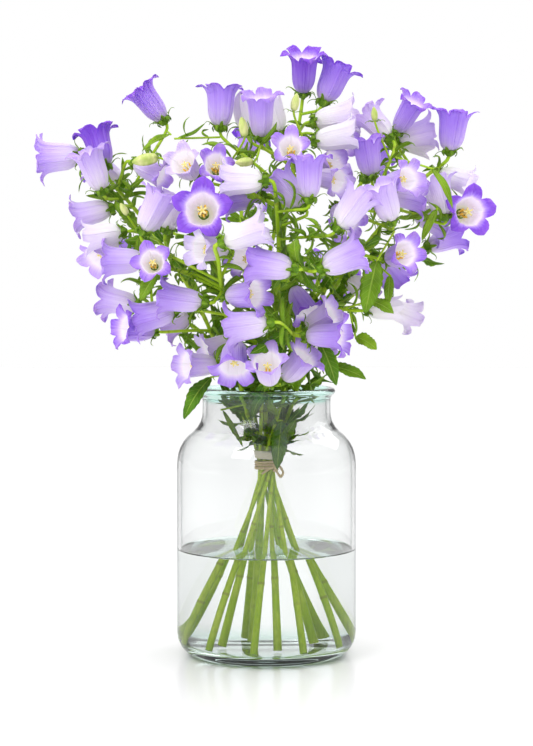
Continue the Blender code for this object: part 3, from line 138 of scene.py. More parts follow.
# bell, stem, and the two points where its stalk starts and bends
STALKS = table(8, """
0 0 -1310 -62 4292 -1116 -76 4632  1 9 187 -499 4346 -115 -470 4603  2 9 258 -586 4543 106 -677 4640
3 12 252 -55 4627 46 -154 4724  4 12 268 -62 4740 208 -110 4779  6 12 317 -83 5078 405 -111 5095
7 11 1432 -83 4460 1307 -95 4660  9 4 981 -654 4328 1098 -563 4549  10 4 963 -641 4296 963 -629 4343
11 12 290 -72 4890 323 -231 4938  13 12 290 -72 4890 344 -70 4901  14 9 283 -617 4607 254 -688 4614
15 10 92 -1158 4129 232 -1240 4142  16 12 225 -41 4439 286 -164 4472  17 9 234 -557 4477 298 -566 4487
18 11 1405 -80 4428 1277 -59 4632  19 11 1405 -80 4428 1280 39 4660  21 4 854 -564 4103 998 -782 4042
22 4 944 -628 4264 979 -573 4303  23 11 1212 -66 4204 1444 -212 4124  24 11 1528 -79 4536 1534 -32 4549
25 11 1322 -73 4332 1562 -50 4247  26 11 1212 -66 4204 1269 52 4219  27 4 698 -454 3807 881 -562 3765
28 4 715 -466 3840 824 -460 3833  29 10 106 -1005 3894 336 -1158 3910  30 4 818 -538 4039 712 -576 4137
31 10 110 -873 3687 252 -1121 3650  32 4 476 -303 3274 655 -429 3270  34 0 -1448 -61 4444 -1462 -143 4474
35 0 -1310 -62 4292 -1399 -217 4287  36 0 -1257 -62 4229 -1307 -153 4226  37 0 -1006 -57 3903 -1114 -360 3950
38 0 -1102 -59 4037 -1233 -134 4005  39 1 -397 -916 3442 -698 -911 3582  40 1 -400 -948 3468 -687 -910 3620
41 9 143 -444 4211 -228 -578 4342  42 0 -1393 -61 4383 -1344 -216 4516  43 1 -405 -1015 3518 -769 -1018 3708
44 1 -400 -948 3468 -477 -966 3790  45 1 -407 -1050 3542 -343 -1033 3676  46 0 -912 -54 3767 -929 -234 3840
47 1 -394 -884 3416 -454 -968 3364  48 1 -364 -670 3215 -553 -700 3254  49 0 -528 -32 3062 -749 -158 3064
50 0 -580 -37 3180 -611 -41 3219  51 1 -279 -356 2764 -333 -386 2763  52 1 -340 -562 3081 -311 -626 3066
53 2 -10 -369 2676 9 -410 2623  54 2 -22 -341 2606 29 -395 2591  56 2 236 -815 3052 179 -1044 3109
57 1 -397 -916 3442 -407 -958 3415  58 10 110 -917 3757 215 -1217 3694  59 10 105 -740 3475 69 -667 3584
61 10 102 -1071 3996 242 -1109 4054  62 9 133 -431 4177 -152 -555 4341  64 9 143 -444 4211 96 -422 4269
65 9 -24 -223 3530 92 -294 3534  66 2 165 -699 3020 229 -683 3045  68 6 338 338 3081 361 243 3141
69 9 -105 -92 2944 -167 -134 2975  70 5 875 245 3443 984 268 3384  72 6 487 415 3495 601 564 3492
73 6 529 439 3606 486 616 3655  74 8 -1090 297 3260 -1131 476 3574  76 7 -232 488 3853 -564 621 3928
77 7 -242 541 4101 -184 725 4125  78 6 805 625 4243 967 639 4219  79 0 -1310 -62 4292 -1308 23 4342
""")
# stem, root, tip and lift, width, side in hundredths, and where the leafstalk leaves the green
LEAVES = table(17, """
1 -509 -360 2638 -761 -420 2251 -18 -95 26 140 -82 29 49 -266 -318 2698
1 -405 -220 2335 -216 -280 1965 3 -19 5 50 -88 -24 -41 -200 -167 2384
3 138 -200 2235 99 -260 1766 -1 -30 4 160 -100 5 8 89 -184 2233
4 486 -480 2975 639 -540 2570 7 -49 10 150 -93 -19 -32 403 -255 3049
4 612 -220 2730 925 -280 2614 1 -35 20 120 -38 -47 -80 334 -188 2778
4 824 -340 3010 1016 -400 2894 1 -26 15 130 -56 -42 -71 759 -502 3260
4 982 -960 3707 875 -1020 3236 -5 -59 9 190 -97 12 21 1135 -995 3967
4 940 -700 3346 1147 -760 3232 1 -26 15 120 -53 -43 -73 689 -453 3267
4 1115 -680 3576 1091 -740 3299 -1 -29 6 90 -100 4 7 917 -583 3754
11 1545 -600 4175 1404 -660 3884 -5 -38 10 80 -89 23 38 1538 -275 4084
4 1498 -580 4544 1685 -640 4174 12 -77 19 70 -88 -24 -41 1142 -513 4660
1 -990 -840 3576 -1128 -900 3348 -4 -28 10 120 -85 26 45 -961 -892 3694
0 -874 -500 4859 -1132 -560 4700 -4 -44 23 60 -55 42 72 -926 -89 4921
9 -823 -550 4817 -550 -610 4957 19 43 -18 40 31 -48 -82 -425 -432 4839
4 450 -286 3200 841 -168 3463 9 15 -21 101 -48 80 36 450 -286 3200
11 342 -56 2974 183 -246 3351 -54 -17 -31 126 42 -87 -26 342 -56 2974
4 245 -90 2384 146 -164 2882 -27 -4 -6 139 18 -98 -11 245 -90 2384
4 476 -303 3274 856 -515 3466 12 -5 -30 125 47 88 4 476 -303 3274
9 -143 1 2420 97 -93 2694 22 -4 -21 99 27 96 9 -143 1 2420
6 164 264 2538 548 226 2883 24 -13 -29 106 27 94 -20 164 264 2538
1 -390 -851 3390 -647 -995 3725 -19 28 -3 123 -59 -47 -66 -390 -851 3390
7 -57 284 2460 185 387 2891 47 4 -27 103 -16 98 -14 -57 284 2460
9 -147 -8 2500 -184 -278 2812 -13 -29 -27 107 95 -29 -14 -147 -8 2500
10 95 -630 3294 58 -1101 3478 -5 -9 -23 95 98 -14 -16 95 -630 3294
6 275 309 2888 460 581 3076 1 10 -15 136 -87 44 22 275 309 2888
8 -588 161 3009 -1051 366 3090 0 9 -22 93 -43 -83 -35 -588 161 3009
12 11 138 2575 247 -2 2874 12 -6 -12 126 46 89 5 11 138 2575
8 -418 154 2805 -777 -142 3037 2 -32 -38 112 72 -51 46 -418 154 2805
7 -144 352 3014 -493 3 3300 -12 -31 -52 111 77 -61 19 -144 352 3014
3 363 -266 3242 292 -186 3650 -30 9 -7 112 -31 -94 13 363 -266 3242
7 -167 375 3184 -111 609 3481 25 36 -33 91 -88 44 -18 -167 375 3184
8 -398 155 2774 -537 433 3217 21 27 -11 113 -77 40 -50 -398 155 2774
6 351 344 3119 666 316 3400 15 -9 -17 117 30 92 -24 351 344 3119
0 -345 -13 2601 -289 111 2992 25 15 -8 117 -55 81 -18 -345 -13 2601
3 163 -249 2542 358 -607 2731 3 -17 -36 127 90 42 -14 163 -249 2542
0 -632 -41 3297 -798 309 3669 15 29 -20 98 -86 11 -49 -632 -41 3297
4 260 -91 2422 515 128 2673 5 23 -25 108 -78 54 32 260 -91 2422
7 -80 301 2606 -525 366 2827 -25 -3 -50 99 -9 -99 10 -80 301 2606
5 651 209 3210 767 -102 3543 -30 -31 -18 103 73 -35 -58 651 209 3210
2 149 -672 3006 236 -861 3339 -10 14 10 91 -83 -55 -9 149 -672 3006
12 81 63 3263 202 317 3764 10 65 -35 112 -97 21 13 81 63 3263
10 63 -430 2953 -217 -498 3193 -36 27 -34 114 -20 -86 -48 63 -430 2953
7 -127 337 2899 75 379 3291 19 -2 -9 117 2 99 -12 -127 337 2899
6 300 320 2966 66 295 3371 -41 -11 -24 116 23 -97 7 300 320 2966
12 147 8 3834 159 -257 4047 -7 -32 -39 75 99 -6 -13 147 8 3834
7 -527 606 3920 -632 781 3939 17 10 -4 65 -23 -3 -97 -527 606 3920
10 202 -1180 3702 164 -1533 3828 -19 9 21 77 -77 -14 -62 202 -1180 3702
11 1334 -12 4561 1111 259 4659 -3 11 -37 75 -79 -61 -11 1334 -12 4561
1 -660 -1017 3651 -794 -790 3612 20 9 -14 71 -42 -39 -82 -660 -1017 3651
4 530 -339 3421 459 -542 3480 -6 -1 -11 84 80 -41 -44 530 -339 3421
9 36 -485 4475 -197 -728 4456 23 -20 -34 74 51 -54 66 36 -485 4475
7 -206 427 3521 -13 413 3758 18 -7 -15 72 25 96 -15 -206 427 3521
0 -1074 -79 4696 -1149 -108 4890 -29 -2 -11 54 10 -99 -11 -1074 -79 4696
6 521 474 3616 369 589 3851 -5 -34 13 62 85 6 52 521 474 3616
0 -1383 -92 4410 -1222 -330 4398 8 7 -34 76 79 52 32 -1383 -92 4410
11 1362 -69 4318 1588 49 4369 -15 16 29 76 28 -77 57 1362 -69 4318
0 -1421 -61 4414 -1335 -249 4673 22 -7 -12 79 46 78 41 -1421 -61 4414
5 814 237 3389 863 392 3510 -10 7 -5 57 -59 -37 72 814 237 3389
7 -198 413 3437 -6 446 3655 19 -3 -17 62 0 99 -15 -198 413 3437
4 463 -294 3237 758 -271 3381 16 15 -36 85 -22 93 30 463 -294 3237
7 -675 664 3946 -810 984 3971 34 15 -5 63 -15 1 -99 -675 664 3946
4 824 -460 3833 965 -153 3824 -17 8 2 55 12 -3 99 824 -460 3833
7 -601 635 3934 -661 826 3986 21 7 0 57 -6 24 -97 -601 635 3934
9 -66 -158 3260 -248 -208 3406 -9 2 -10 74 9 -97 -22 -66 -158 3260
10 313 -1223 3627 445 -1356 3429 -5 19 -16 55 85 45 27 313 -1223 3627
11 800 -55 3690 988 -162 3739 0 -12 -24 65 53 76 -38 800 -55 3690
0 -1332 -101 4291 -1687 -134 4321 -3 31 3 62 -9 9 -99 -1332 -101 4291
12 98 47 3416 276 253 3663 8 17 -20 81 -83 54 15 98 47 3416
4 1064 -589 4486 1201 -429 4550 1 6 -17 82 -78 60 16 1064 -589 4486
10 105 -740 3475 -135 -976 3546 -8 4 -16 59 55 -70 -45 105 -740 3475
0 -935 -342 3878 -1098 -419 4109 -13 42 5 64 -78 -17 -61 -935 -342 3878
1 -628 -708 3266 -869 -463 3316 15 15 -2 59 -16 4 -99 -628 -708 3266
9 -177 -463 4651 -182 -415 4998 33 -1 0 77 2 99 -14 -177 -463 4651
0 -1323 -183 4224 -1512 -246 4395 2 13 7 74 -68 40 -61 -1323 -183 4224
9 96 -490 4423 30 -293 4609 36 24 -12 69 -55 47 -69 96 -490 4423
7 -245 598 4346 -287 331 4596 -1 -13 -14 54 99 -12 3 -245 598 4346
10 176 -1105 3718 375 -1132 3714 1 10 2 73 -1 -21 98 176 -1105 3718
7 -241 532 4060 -7 450 4223 10 -9 -18 54 44 88 -19 -241 532 4060
11 1208 -47 4729 1034 -228 4927 8 -25 -16 54 80 -12 59 1208 -47 4729
7 -453 577 3903 -588 546 4094 22 -18 12 61 42 81 42 -453 577 3903
12 149 -104 4675 104 -369 4759 28 -7 -8 67 32 23 92 149 -104 4675
10 104 -718 3439 341 -726 3688 27 34 -25 68 -47 74 48 104 -718 3439
0 -1095 -78 4664 -1082 -9 4863 -11 7 -2 64 -52 -79 31 -1095 -78 4664
5 1391 306 3787 1521 490 3782 -8 5 -7 68 -48 36 80 1391 306 3787
11 1482 -58 4275 1639 79 4337 -9 6 10 77 31 -66 68 1482 -58 4275
10 70 -467 3017 181 -389 3211 7 26 -14 70 -85 41 33 70 -467 3017
0 -1153 -60 4101 -1376 115 4095 5 6 -16 58 -54 -71 -45 -1153 -60 4101
10 81 -1245 4261 135 -1535 4235 5 4 -29 81 97 16 19 81 -1245 4261
9 -18 -232 3568 -218 -474 3688 -8 -1 -14 62 64 -69 -33 -18 -232 3568
11 1369 -46 4495 1578 233 4633 41 -9 -43 54 -48 65 -59 1369 -46 4495
""")
# stem, foot, axis in hundredths, length, and where the stalk leaves the green
BUDS = table(11, """
9 -977 -680 4635 -98 0 -17 240 -638 -675 4455  9 -117 -1091 4573 -94 -34 -8 170 -50 -775 4758
9 -192 -984 4797 -17 -17 97 180 -418 -644 4467  9 242 -886 5034 17 -17 97 160 345 -693 4768
4 983 -560 4974 -9 0 100 130 1127 -530 4623  0 -1261 -600 4119 -50 0 87 130 -1162 -511 3966
4 1095 -798 4059 16 -34 93 130 1037 -843 4021
""")

# ---------------------------------------------------------------- small helpers

def paint(code):
    """A linear colour from a hex code."""
    parts = [int(code[i:i + 2], 16) / 255.0 for i in (0, 2, 4)]
    return tuple(c / 12.92 if c <= 0.04045 else ((c + 0.055) / 1.055) ** 2.4 for c in parts)


def unit(v):
    v = np.asarray(v, float)
    return v / max(np.linalg.norm(v), 1e-9)


def frame_of(axis):
    """Two unit vectors square to an axis."""
    side = unit(np.cross(axis, (0.31, 0.77, 0.55)))
    return side, np.cross(axis, side)


def smooth(low, high, x):
    t = np.clip((np.asarray(x, float) - low) / (high - low), 0.0, 1.0)
    return t * t * (3.0 - 2.0 * t)


def curve_through(points, step):
    """A smooth line through some points, with a point about every step."""
    p = np.asarray(points, float)
    ends = np.vstack([2 * p[0] - p[1], p, 2 * p[-1] - p[-2]])
    line = [p[0]]
    for i in range(len(p) - 1):
        a, b, c, d = ends[i:i + 4]
        parts = max(2, int(round(np.linalg.norm(c - b) / step)))
        for j in range(1, parts + 1):
            t = j / parts
            line.append(0.5 * (2 * b + (c - a) * t + (2 * a - 5 * b + 4 * c - d) * t * t
                               + (3 * b - a - 3 * c + d) * t ** 3))
    return np.array(line)


def tangents(line):
    move = np.gradient(line, axis=0)
    return move / np.maximum(np.linalg.norm(move, axis=1, keepdims=True), 1e-9)


class Shape:
    """Sheets and tubes of one mesh while it is made, in millimetres."""

    def __init__(self):
        self.points, self.faces, self.parts, self.uvs, self.values = [], [], [], [], {}
        self.count = 0

    def sheet(self, grid, part=0, wrap=True, u=(0.0, 1.0), v=(0.0, 1.0), **values):
        """An (n, m, 3) grid of points as faces. It closes on itself along its first side if wrap is set."""
        n, m = grid.shape[:2]
        number = self.count + np.arange(n * m).reshape(n, m)
        self.points.append(grid.reshape(-1, 3))
        self.count += n * m
        i, j = np.meshgrid(np.arange(n if wrap else n - 1), np.arange(m - 1), indexing="ij")
        i, j = i.ravel(), j.ravel()
        k = (i + 1) % n
        self.faces.append(np.stack([number[i, j], number[k, j], number[k, j + 1], number[i, j + 1]], 1))
        self.parts.append(np.full(len(i), part))
        spread = n if wrap else n - 1
        us = u[0] + (u[1] - u[0]) * np.stack([i, i + 1, i + 1, i], 1) / spread
        vs = np.interp(np.stack([j, j, j + 1, j + 1], 1), np.linspace(0, m - 1, len(v)), v)
        self.uvs.append(np.stack([us, vs], 2).reshape(-1, 2))
        for name in set(values) | set(self.values):
            kept = self.values.setdefault(name, [np.zeros(self.count - n * m)])
            kept.append(np.broadcast_to(np.reshape(values.get(name, 0.0), (-1,) if np.ndim(values.get(name, 0.0))
                                                   else ()), (n * m,)).astype(float))

    def tube(self, line, radius, sides=8, part=0, closed=False, **values):
        """A tube with closed ends along a line."""
        line = np.asarray(line, float)
        radius = np.broadcast_to(radius, len(line))
        way = tangents(line)
        side = frame_of(way[0])[0]
        rings = []
        for p, w, r in zip(line, way, radius):
            side = unit(side - w * np.dot(side, w))
            a = np.arange(sides)[:, None] * math.tau / sides
            rings.append(p + (side * np.cos(a) + np.cross(w, side) * np.sin(a)) * r)
        grid = np.stack(rings, 1)
        ends = [np.repeat(line[k][None, None], sides, 0) for k in (0, -1)]
        self.sheet(np.concatenate([ends[0], grid, ends[1]], 1), part, **values)

    def mesh(self, name):
        """The mesh in metres, closed at its seams and poles, with its faces outward."""
        mesh = bpy.data.meshes.new(name)
        points, faces = np.concatenate(self.points) * MM, np.concatenate(self.faces)
        mesh.from_pydata(points.tolist(), [], faces.tolist())
        layer = mesh.uv_layers.new(name="UVMap")
        layer.data.foreach_set("uv", np.concatenate(self.uvs).ravel())
        mesh.attributes.new("part", "INT", "FACE").data.foreach_set("value", np.concatenate(self.parts).astype(np.int32))
        for key, kept in self.values.items():
            mesh.attributes.new(key, "FLOAT", "POINT").data.foreach_set("value", np.concatenate(kept))
        work = bmesh.new()
        work.from_mesh(mesh)
        bmesh.ops.remove_doubles(work, verts=work.verts, dist=2e-6)
        bmesh.ops.dissolve_degenerate(work, dist=1e-6, edges=work.edges)
        bmesh.ops.recalc_face_normals(work, faces=work.faces)
        for face in work.faces:
            face.smooth = True
        work.to_mesh(mesh)
        work.free()
        return mesh


def to_object(name, mesh, hidden=False):
    obj = bpy.data.objects.new(name, mesh)
    (helper_collection() if hidden else bpy.context.scene.collection).objects.link(obj)
    return obj


def helper_collection(name="prototypes"):
    """A collection that isn't in the scene, for shapes that are only repeated."""
    return bpy.data.collections.get(name) or bpy.data.collections.new(name)


def keep(obj, node, slot, *more):
    """Let a finished piece stand for its CAD nodes."""
    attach(obj, "root")
    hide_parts(node, *more)


# ---------------------------------------------------------------- node trees

class Net:
    """Adds nodes to one tree, sets them and links them."""

    def __init__(self, tree):
        self.tree = tree

    def add(self, kind, settings=None, inputs=None, out=0):
        node = self.tree.nodes.new(kind)
        for name, value in (settings or {}).items():
            if name == "stops":
                ramp = node.color_ramp
                while len(ramp.elements) < len(value):
                    ramp.elements.new(0.5)
                for stop, (place, colour) in zip(ramp.elements, value):
                    stop.position, stop.color = place, (*colour, 1.0)
            else:
                setattr(node, name, value)
        for name, value in (inputs or {}).items():
            for item in value if isinstance(value, list) else [value]:
                if isinstance(item, Link):
                    self.tree.links.new(item.socket, node.inputs[name])
                else:
                    node.inputs[name].default_value = item
        return Link(self, node.outputs[out]) if node.outputs else None


class Link:
    """An output socket that can stand in a sum."""

    def __init__(self, net, socket):
        self.net, self.socket = net, socket

    def math(self, operation, *others, flip=False):
        terms = (others + (self,)) if flip else ((self,) + others)
        return self.net.add("ShaderNodeMath", {"operation": operation}, dict(enumerate(terms)))

    def __add__(self, other):
        return self.math("ADD", other)

    def __mul__(self, other):
        return self.math("MULTIPLY", other)

    def __sub__(self, other):
        return self.math("SUBTRACT", other)

    def __rsub__(self, other):
        return self.math("SUBTRACT", other, flip=True)

    def __truediv__(self, other):
        return self.math("DIVIDE", other)

    def __pow__(self, other):
        return self.math("POWER", other)

    __radd__, __rmul__ = __add__, __mul__

    def clamp(self):
        node = self.net.add("ShaderNodeMath", {"operation": "ADD", "use_clamp": True}, {0: self, 1: 0.0})
        return node

    def step(self, low, high):
        """A smooth rise from 0 at low to 1 at high."""
        return self.net.add("ShaderNodeMapRange", {"interpolation_type": "SMOOTHSTEP"},
                            {"Value": self, "From Min": low, "From Max": high})


class Finish(Net):
    """A material with a Principled shader."""

    def __init__(self, name):
        self.material = bpy.data.materials.new(name)
        self.material.use_nodes = True
        super().__init__(self.material.node_tree)
        self.tree.nodes.clear()

    def place(self):
        return self.add("ShaderNodeTexCoord", out="Object")

    def uv(self):
        both = self.add("ShaderNodeUVMap", {"uv_map": "UVMap"})
        split = self.add("ShaderNodeSeparateXYZ", {}, {0: both})
        return both, split, Link(self, split.socket.node.outputs[1])

    def value(self, name):
        return self.add("ShaderNodeAttribute", {"attribute_name": name}, out="Fac")

    def stretched(self, place, x, y, z):
        return self.add("ShaderNodeMapping", {}, {"Vector": place, "Scale": (x, y, z)})

    def noise(self, place, scale, detail=3.0, rough=0.5):
        return self.add("ShaderNodeTexNoise", {}, {"Vector": place, "Scale": scale, "Detail": detail,
                                                   "Roughness": rough})

    def mix(self, factor, a, b, how="MIX"):
        return self.add("ShaderNodeMix", {"data_type": "RGBA", "blend_type": how},
                        {0: factor, 6: full(a), 7: full(b)}, out=2)

    def bump(self, height, distance, strength=1.0):
        return self.add("ShaderNodeBump", {}, {"Height": height, "Distance": distance, "Strength": strength})

    def principled(self, **inputs):
        named = {name.replace("_", " "): full(value) if "Color" in name else value for name, value in inputs.items()}
        return self.add("ShaderNodeBsdfPrincipled", {}, named)

    def done(self, shader):
        self.add("ShaderNodeOutputMaterial", {}, {"Surface": shader})
        return self.material


def full(colour):
    return colour if isinstance(colour, Link) or len(colour) == 4 else (*colour, 1.0)


class Growth(Net):
    """A Geometry Nodes tree with named inputs."""

    def __init__(self, name, **inputs):
        super().__init__(bpy.data.node_groups.new(name, "GeometryNodeTree"))
        face = self.tree.interface
        face.new_socket(name="Geometry", in_out="INPUT", socket_type="NodeSocketGeometry")
        self.sockets = {}
        for key, kind in inputs.items():
            self.sockets[key] = face.new_socket(name=key, in_out="INPUT", socket_type="NodeSocket" + kind).identifier
        face.new_socket(name="Geometry", in_out="OUTPUT", socket_type="NodeSocketGeometry")
        self.start = self.tree.nodes.new("NodeGroupInput")

    def input(self, name="Geometry"):
        return Link(self, self.start.outputs[name])

    def named(self, name, kind="FLOAT"):
        return self.add("GeometryNodeInputNamedAttribute", {"data_type": kind}, {"Name": name})

    def finish(self, geometry, materials):
        """Realize, give each part its material and end the tree."""
        made = self.add("GeometryNodeRealizeInstances", {}, {"Geometry": geometry})
        part = self.named("part", "INT")
        for number, key in enumerate(materials):
            same = self.add("FunctionNodeCompare", {"data_type": "INT", "operation": "EQUAL"}, {2: part, 3: number})
            made = self.add("GeometryNodeSetMaterial", {}, {"Geometry": made, "Selection": same,
                                                            "Material": self.input(key)})
        self.add("NodeGroupOutput", {}, {"Geometry": made})
        return self

    def grow(self, obj, **values):
        """Run the tree on an object and keep the result as its plain mesh."""
        change = obj.modifiers.new("growth", "NODES")
        change.node_group = self.tree
        for key, value in values.items():
            change[self.sockets[key]] = value
        graph = bpy.context.evaluated_depsgraph_get()
        mesh = bpy.data.meshes.new_from_object(obj.evaluated_get(graph), preserve_all_data_layers=True,
                                               depsgraph=graph)
        obj.modifiers.remove(change)
        obj.data = mesh
        return obj

# ---------------------------------------------------------------- sizes and colours that a user may change

def colour(name, code, note):
    return FloatVectorProperty(name=name, description=note, default=paint(code), size=3, min=0.0, max=1.0,
                               subtype="COLOR")


def length(name, value, note):
    return FloatProperty(name=name, description=note, default=value * MM, min=0.0, unit="LENGTH", precision=5)


class JarSettings(bpy.types.PropertyGroup):
    glass_tint: colour("Glass tint", "F5F6F6", "What the glass lets through")
    # the edge colour is painted shade on the glass where it is seen along its wall, over the green it shows through its
    # length
    glass_edge_painted_shade: colour("Glass edge", "1F3F3C", "The glass where it is seen along its wall")
    water_level: length("Water level", 100.0, "Height of the water over the table")
    ripple: FloatProperty(name="Waviness", description="How uneven the blown wall is", default=0.12, min=0.0, max=1.0)


class BellSettings(bpy.types.PropertyGroup):
    pale: colour("Pale petal", "F7F3FC", "Petal near the calyx and in white bells")
    lilac: colour("Lilac petal", "BEA2EE", "Lobes of a bell of middle tone")
    purple: colour("Purple petal", "8C58D4", "Lobes of the deepest bells")
    petal_thickness: length("Petal thickness", 0.5, "Thickness of a petal")
    seed: IntProperty(name="Seed", description="Seed of the ruffles", default=5, min=0)


class GreenSettings(bpy.types.PropertyGroup):
    stem: colour("Stem", "BCE022", "Fresh stem")
    leaf: colour("Leaf", "568A12", "Upper side of a leaf")
    leaf_thickness: length("Leaf thickness", 0.36, "Thickness of a leaf")
    bract_share: FloatProperty(name="Bracts", description="Share of the places on the green that carry bracts",
                               default=0.17, min=0.0, max=1.0)
    seed: IntProperty(name="Seed", description="Seed of the waves in the leaves", default=3, min=0)


class TieSettings(bpy.types.PropertyGroup):
    twine: colour("Twine", "F6E4BC", "Jute of the twine")
    paper: colour("Band", "F8F3E0", "Paper band over the twine")
    strand: length("Strand radius", 0.62, "Radius of one of the three strands")


class StageSettings(bpy.types.PropertyGroup):
    light: FloatProperty(name="Light", description="Strength of the surrounding light", default=1.0, min=0.0)
    floor: colour("Floor", "F4F4F4", "Colour of the floor")


# ---------------------------------------------------------------- stage

def sky(strength):
    """White light from everywhere but the two sides, which leaves grey edges on clear glass."""
    world = bpy.data.worlds.new("studio")
    world.use_nodes = True
    world.node_tree.nodes.clear()
    net = Net(world.node_tree)
    way = net.add("ShaderNodeTexCoord", out="Generated")
    split = net.add("ShaderNodeSeparateXYZ", {}, {0: way}).socket.node
    side = Link(net, split.outputs["X"]).math("ABSOLUTE")
    up = Link(net, split.outputs["Z"])
    path = net.add("ShaderNodeLightPath").socket.node
    seen, spread = Link(net, path.outputs["Is Camera Ray"]), Link(net, path.outputs["Is Diffuse Ray"])
    bounced = Link(net, path.outputs["Is Reflection Ray"]) * (1.0 - spread)
    low = 1.0 - up.step(0.3, 0.8)
    through = 0.97 - side.step(0.46, 0.66) * low * 0.6
    mirrored = 0.95 - side.step(0.16, 0.36) * (1.0 - side.step(0.80, 0.95)) * low * 0.5
    soft = 1.12 + up.step(0.2, 0.9) * 0.36
    light = (mirrored * bounced + through * (1.0 - bounced)) * (1.0 - spread) + soft * spread
    light = (light * (1.0 - seen) + seen) * strength
    back = net.add("ShaderNodeBackground", {}, {"Color": (1.0, 1.0, 1.0, 1.0), "Strength": light})
    net.add("ShaderNodeOutputWorld", {}, {"Surface": back})
    bpy.context.scene.world = world


def softbox(name, place, aim, size, power):
    lamp = bpy.data.lights.new(name, "AREA")
    lamp.shape, lamp.size, lamp.size_y, lamp.energy = "RECTANGLE", size[0], size[1], power
    obj = to_object(name, lamp)
    obj.location = place
    obj.rotation_euler = (Vector(aim) - Vector(place)).to_track_quat("-Z", "Y").to_euler()


class BELLS_OT_stage(bpy.types.Operator):
    """Make the camera, the light and the floor"""
    bl_idname = "bells.stage"
    bl_label = "Stage"

    def execute(self, context):
        settings = context.scene.bells_stage
        camera = bpy.data.cameras.new("camera")
        camera.lens, camera.sensor_width, camera.sensor_fit = 88.84, 36.0, "AUTO"
        camera.clip_end = 50.0
        obj = to_object("camera", camera)
        obj.location = (0.0, -1.735, 0.349)
        obj.rotation_euler = (math.radians(90.0 - 2.74), 0.0, 0.0)
        context.scene.camera = obj
        context.scene.view_settings.view_transform = "Standard"
        sky(settings.light)
        softbox("key", (-1.1, -1.5, 1.7), (0.0, 0.0, 0.35), (1.0, 1.0), 14.0)
        softbox("fill", (1.3, 1.0, 1.6), (0.0, 0.0, 0.35), (1.2, 1.2), 9.0)
        floor = Shape()
        reach = 6000.0
        floor.sheet(np.array([[(-reach, -reach, -0.4), (-reach, reach, -0.4)],
                              [(reach, -reach, -0.4), (reach, reach, -0.4)]]), wrap=False)
        ground = to_object("floor", floor.mesh("floor"))
        look = Finish("floor_white")
        grain = look.noise(look.place(), 3.0)
        tone = look.mix(grain, settings.floor[:], tuple(0.985 * c for c in settings.floor))
        ground.data.materials.append(look.done(look.principled(Base_Color=tone, Roughness=0.22)))
        return {"FINISHED"}


# ---------------------------------------------------------------- jar and water

OUTER = ((0, 1.9), (34, 1.7), (54, 1.0), (62, 0.3), (66.5, 0), (70.5, 0.5), (75, 2.4), (79, 5.6), (82, 10), (84.2, 15.5),
         (85, 22), (85, 60), (85, 100), (85, 140), (85, 174), (84.7, 182), (83.7, 189.6), (81.6, 196), (78.3, 201.8),
         (73.8, 207), (69, 211.2), (65.2, 215.4), (62.4, 220.2), (60.9, 225.4), (60.5, 231), (60.5, 239.5), (61, 243.2),
         (62.5, 245.8), (64.2, 247), (64.9, 248.6), (64.7, 250.4), (63.6, 251.8), (61.8, 252.4), (59.9, 252),
         (58.4, 250.8), (57.4, 248.4), (56.8, 244.6))
INNER = ((56.6, 238), (56.8, 230), (57.8, 223.4), (60.4, 217.8), (64.4, 213), (69.4, 208.4), (74, 203.8), (77.4, 198.6),
         (79.7, 192.4), (81, 185.6), (81.4, 178), (81.4, 140), (81.4, 103), (81.4, 101.2), (81.4, 98), (81.4, 60),
         (81.4, 26), (80.7, 19.6), (78.6, 14.8), (74.8, 11.9), (69, 10.5), (58, 10), (30, 10.3), (0, 10.6))


def revolve(profile, sides, part=0):
    """The (n, m, 3) grid of a profile of (r, z) turned round the Z axis."""
    turn = np.arange(sides) * math.tau / sides
    r, z = np.array(profile, float).T
    return np.stack([np.cos(turn)[:, None] * r, np.sin(turn)[:, None] * r, np.broadcast_to(z, (sides, len(z)))], 2)


def clear(name, tint, edge, ior, ripple, foot=None):
    """Clear glass or water, a little uneven, and darker where it is seen along its wall: the green that glass shows
    through its length, deepened as painted shade that stands in for the dark edges that reflections give.
    """
    look = Finish(name)
    place = look.place()
    waves = look.noise(look.stretched(place, 1.0, 1.0, 0.35), 24.0, 1.0)
    low = look.noise(place, 9.0, 1.0)
    bump = look.bump(waves + low * 2.0, 0.0006 * ripple)
    facing = look.add("ShaderNodeLayerWeight", {}, {"Blend": 0.5}, out="Facing")
    # painted shade: where the surface is seen along its wall the tint turns towards the dark edge colour, standing in
    # for dark reflected edges
    along = facing.step(0.74, 0.84) * 0.7 + facing ** 3.0 * 0.05
    if foot:
        high = Link(look, look.add("ShaderNodeSeparateXYZ", {}, {0: place}).socket.node.outputs["Z"])
        tint = look.mix(high.step(0.006, 0.022), foot, look.mix(high.step(0.236, 0.246), tint, foot))
        along = along * high.step(0.010, 0.030)
    tone = look.mix(along, tint, edge)
    return look.done(look.principled(Base_Color=tone, Roughness=0.0, IOR=ior, Transmission_Weight=1.0, Normal=bump))


def nothing(name):
    look = Finish(name)
    return look.done(look.add("ShaderNodeBsdfTransparent"))


class BELLS_OT_jar(bpy.types.Operator):
    """Make the glass jar"""
    bl_idname = "bells.jar"
    bl_label = "Glass jar"

    def execute(self, context):
        settings = context.scene.bells_jar
        profile = OUTER + INNER
        wet = len(OUTER) + [p[1] for p in INNER].index(101.2)
        shape = Shape()
        shape.sheet(revolve(profile[:wet + 1], 144))
        shape.sheet(revolve(profile[wet:], 144), part=1)
        jar = to_object("glass_jar", shape.mesh("glass_jar"))
        jar.data.materials.append(clear("clear_glass", settings.glass_tint[:], settings.glass_edge_painted_shade[:], 1.5,
                                        settings.ripple, paint("CDEDE4")))
        jar.data.materials.append(clear("glass_on_water", paint("F3F6F5"), paint("F3F6F5"), 1.125,
                                        settings.ripple))
        part = np.zeros(len(jar.data.polygons), np.int32)
        jar.data.attributes["part"].data.foreach_get("value", part)
        jar.data.polygons.foreach_set("material_index", part)
        keep(jar, "vase", "clear_glass")
        return {"FINISHED"}


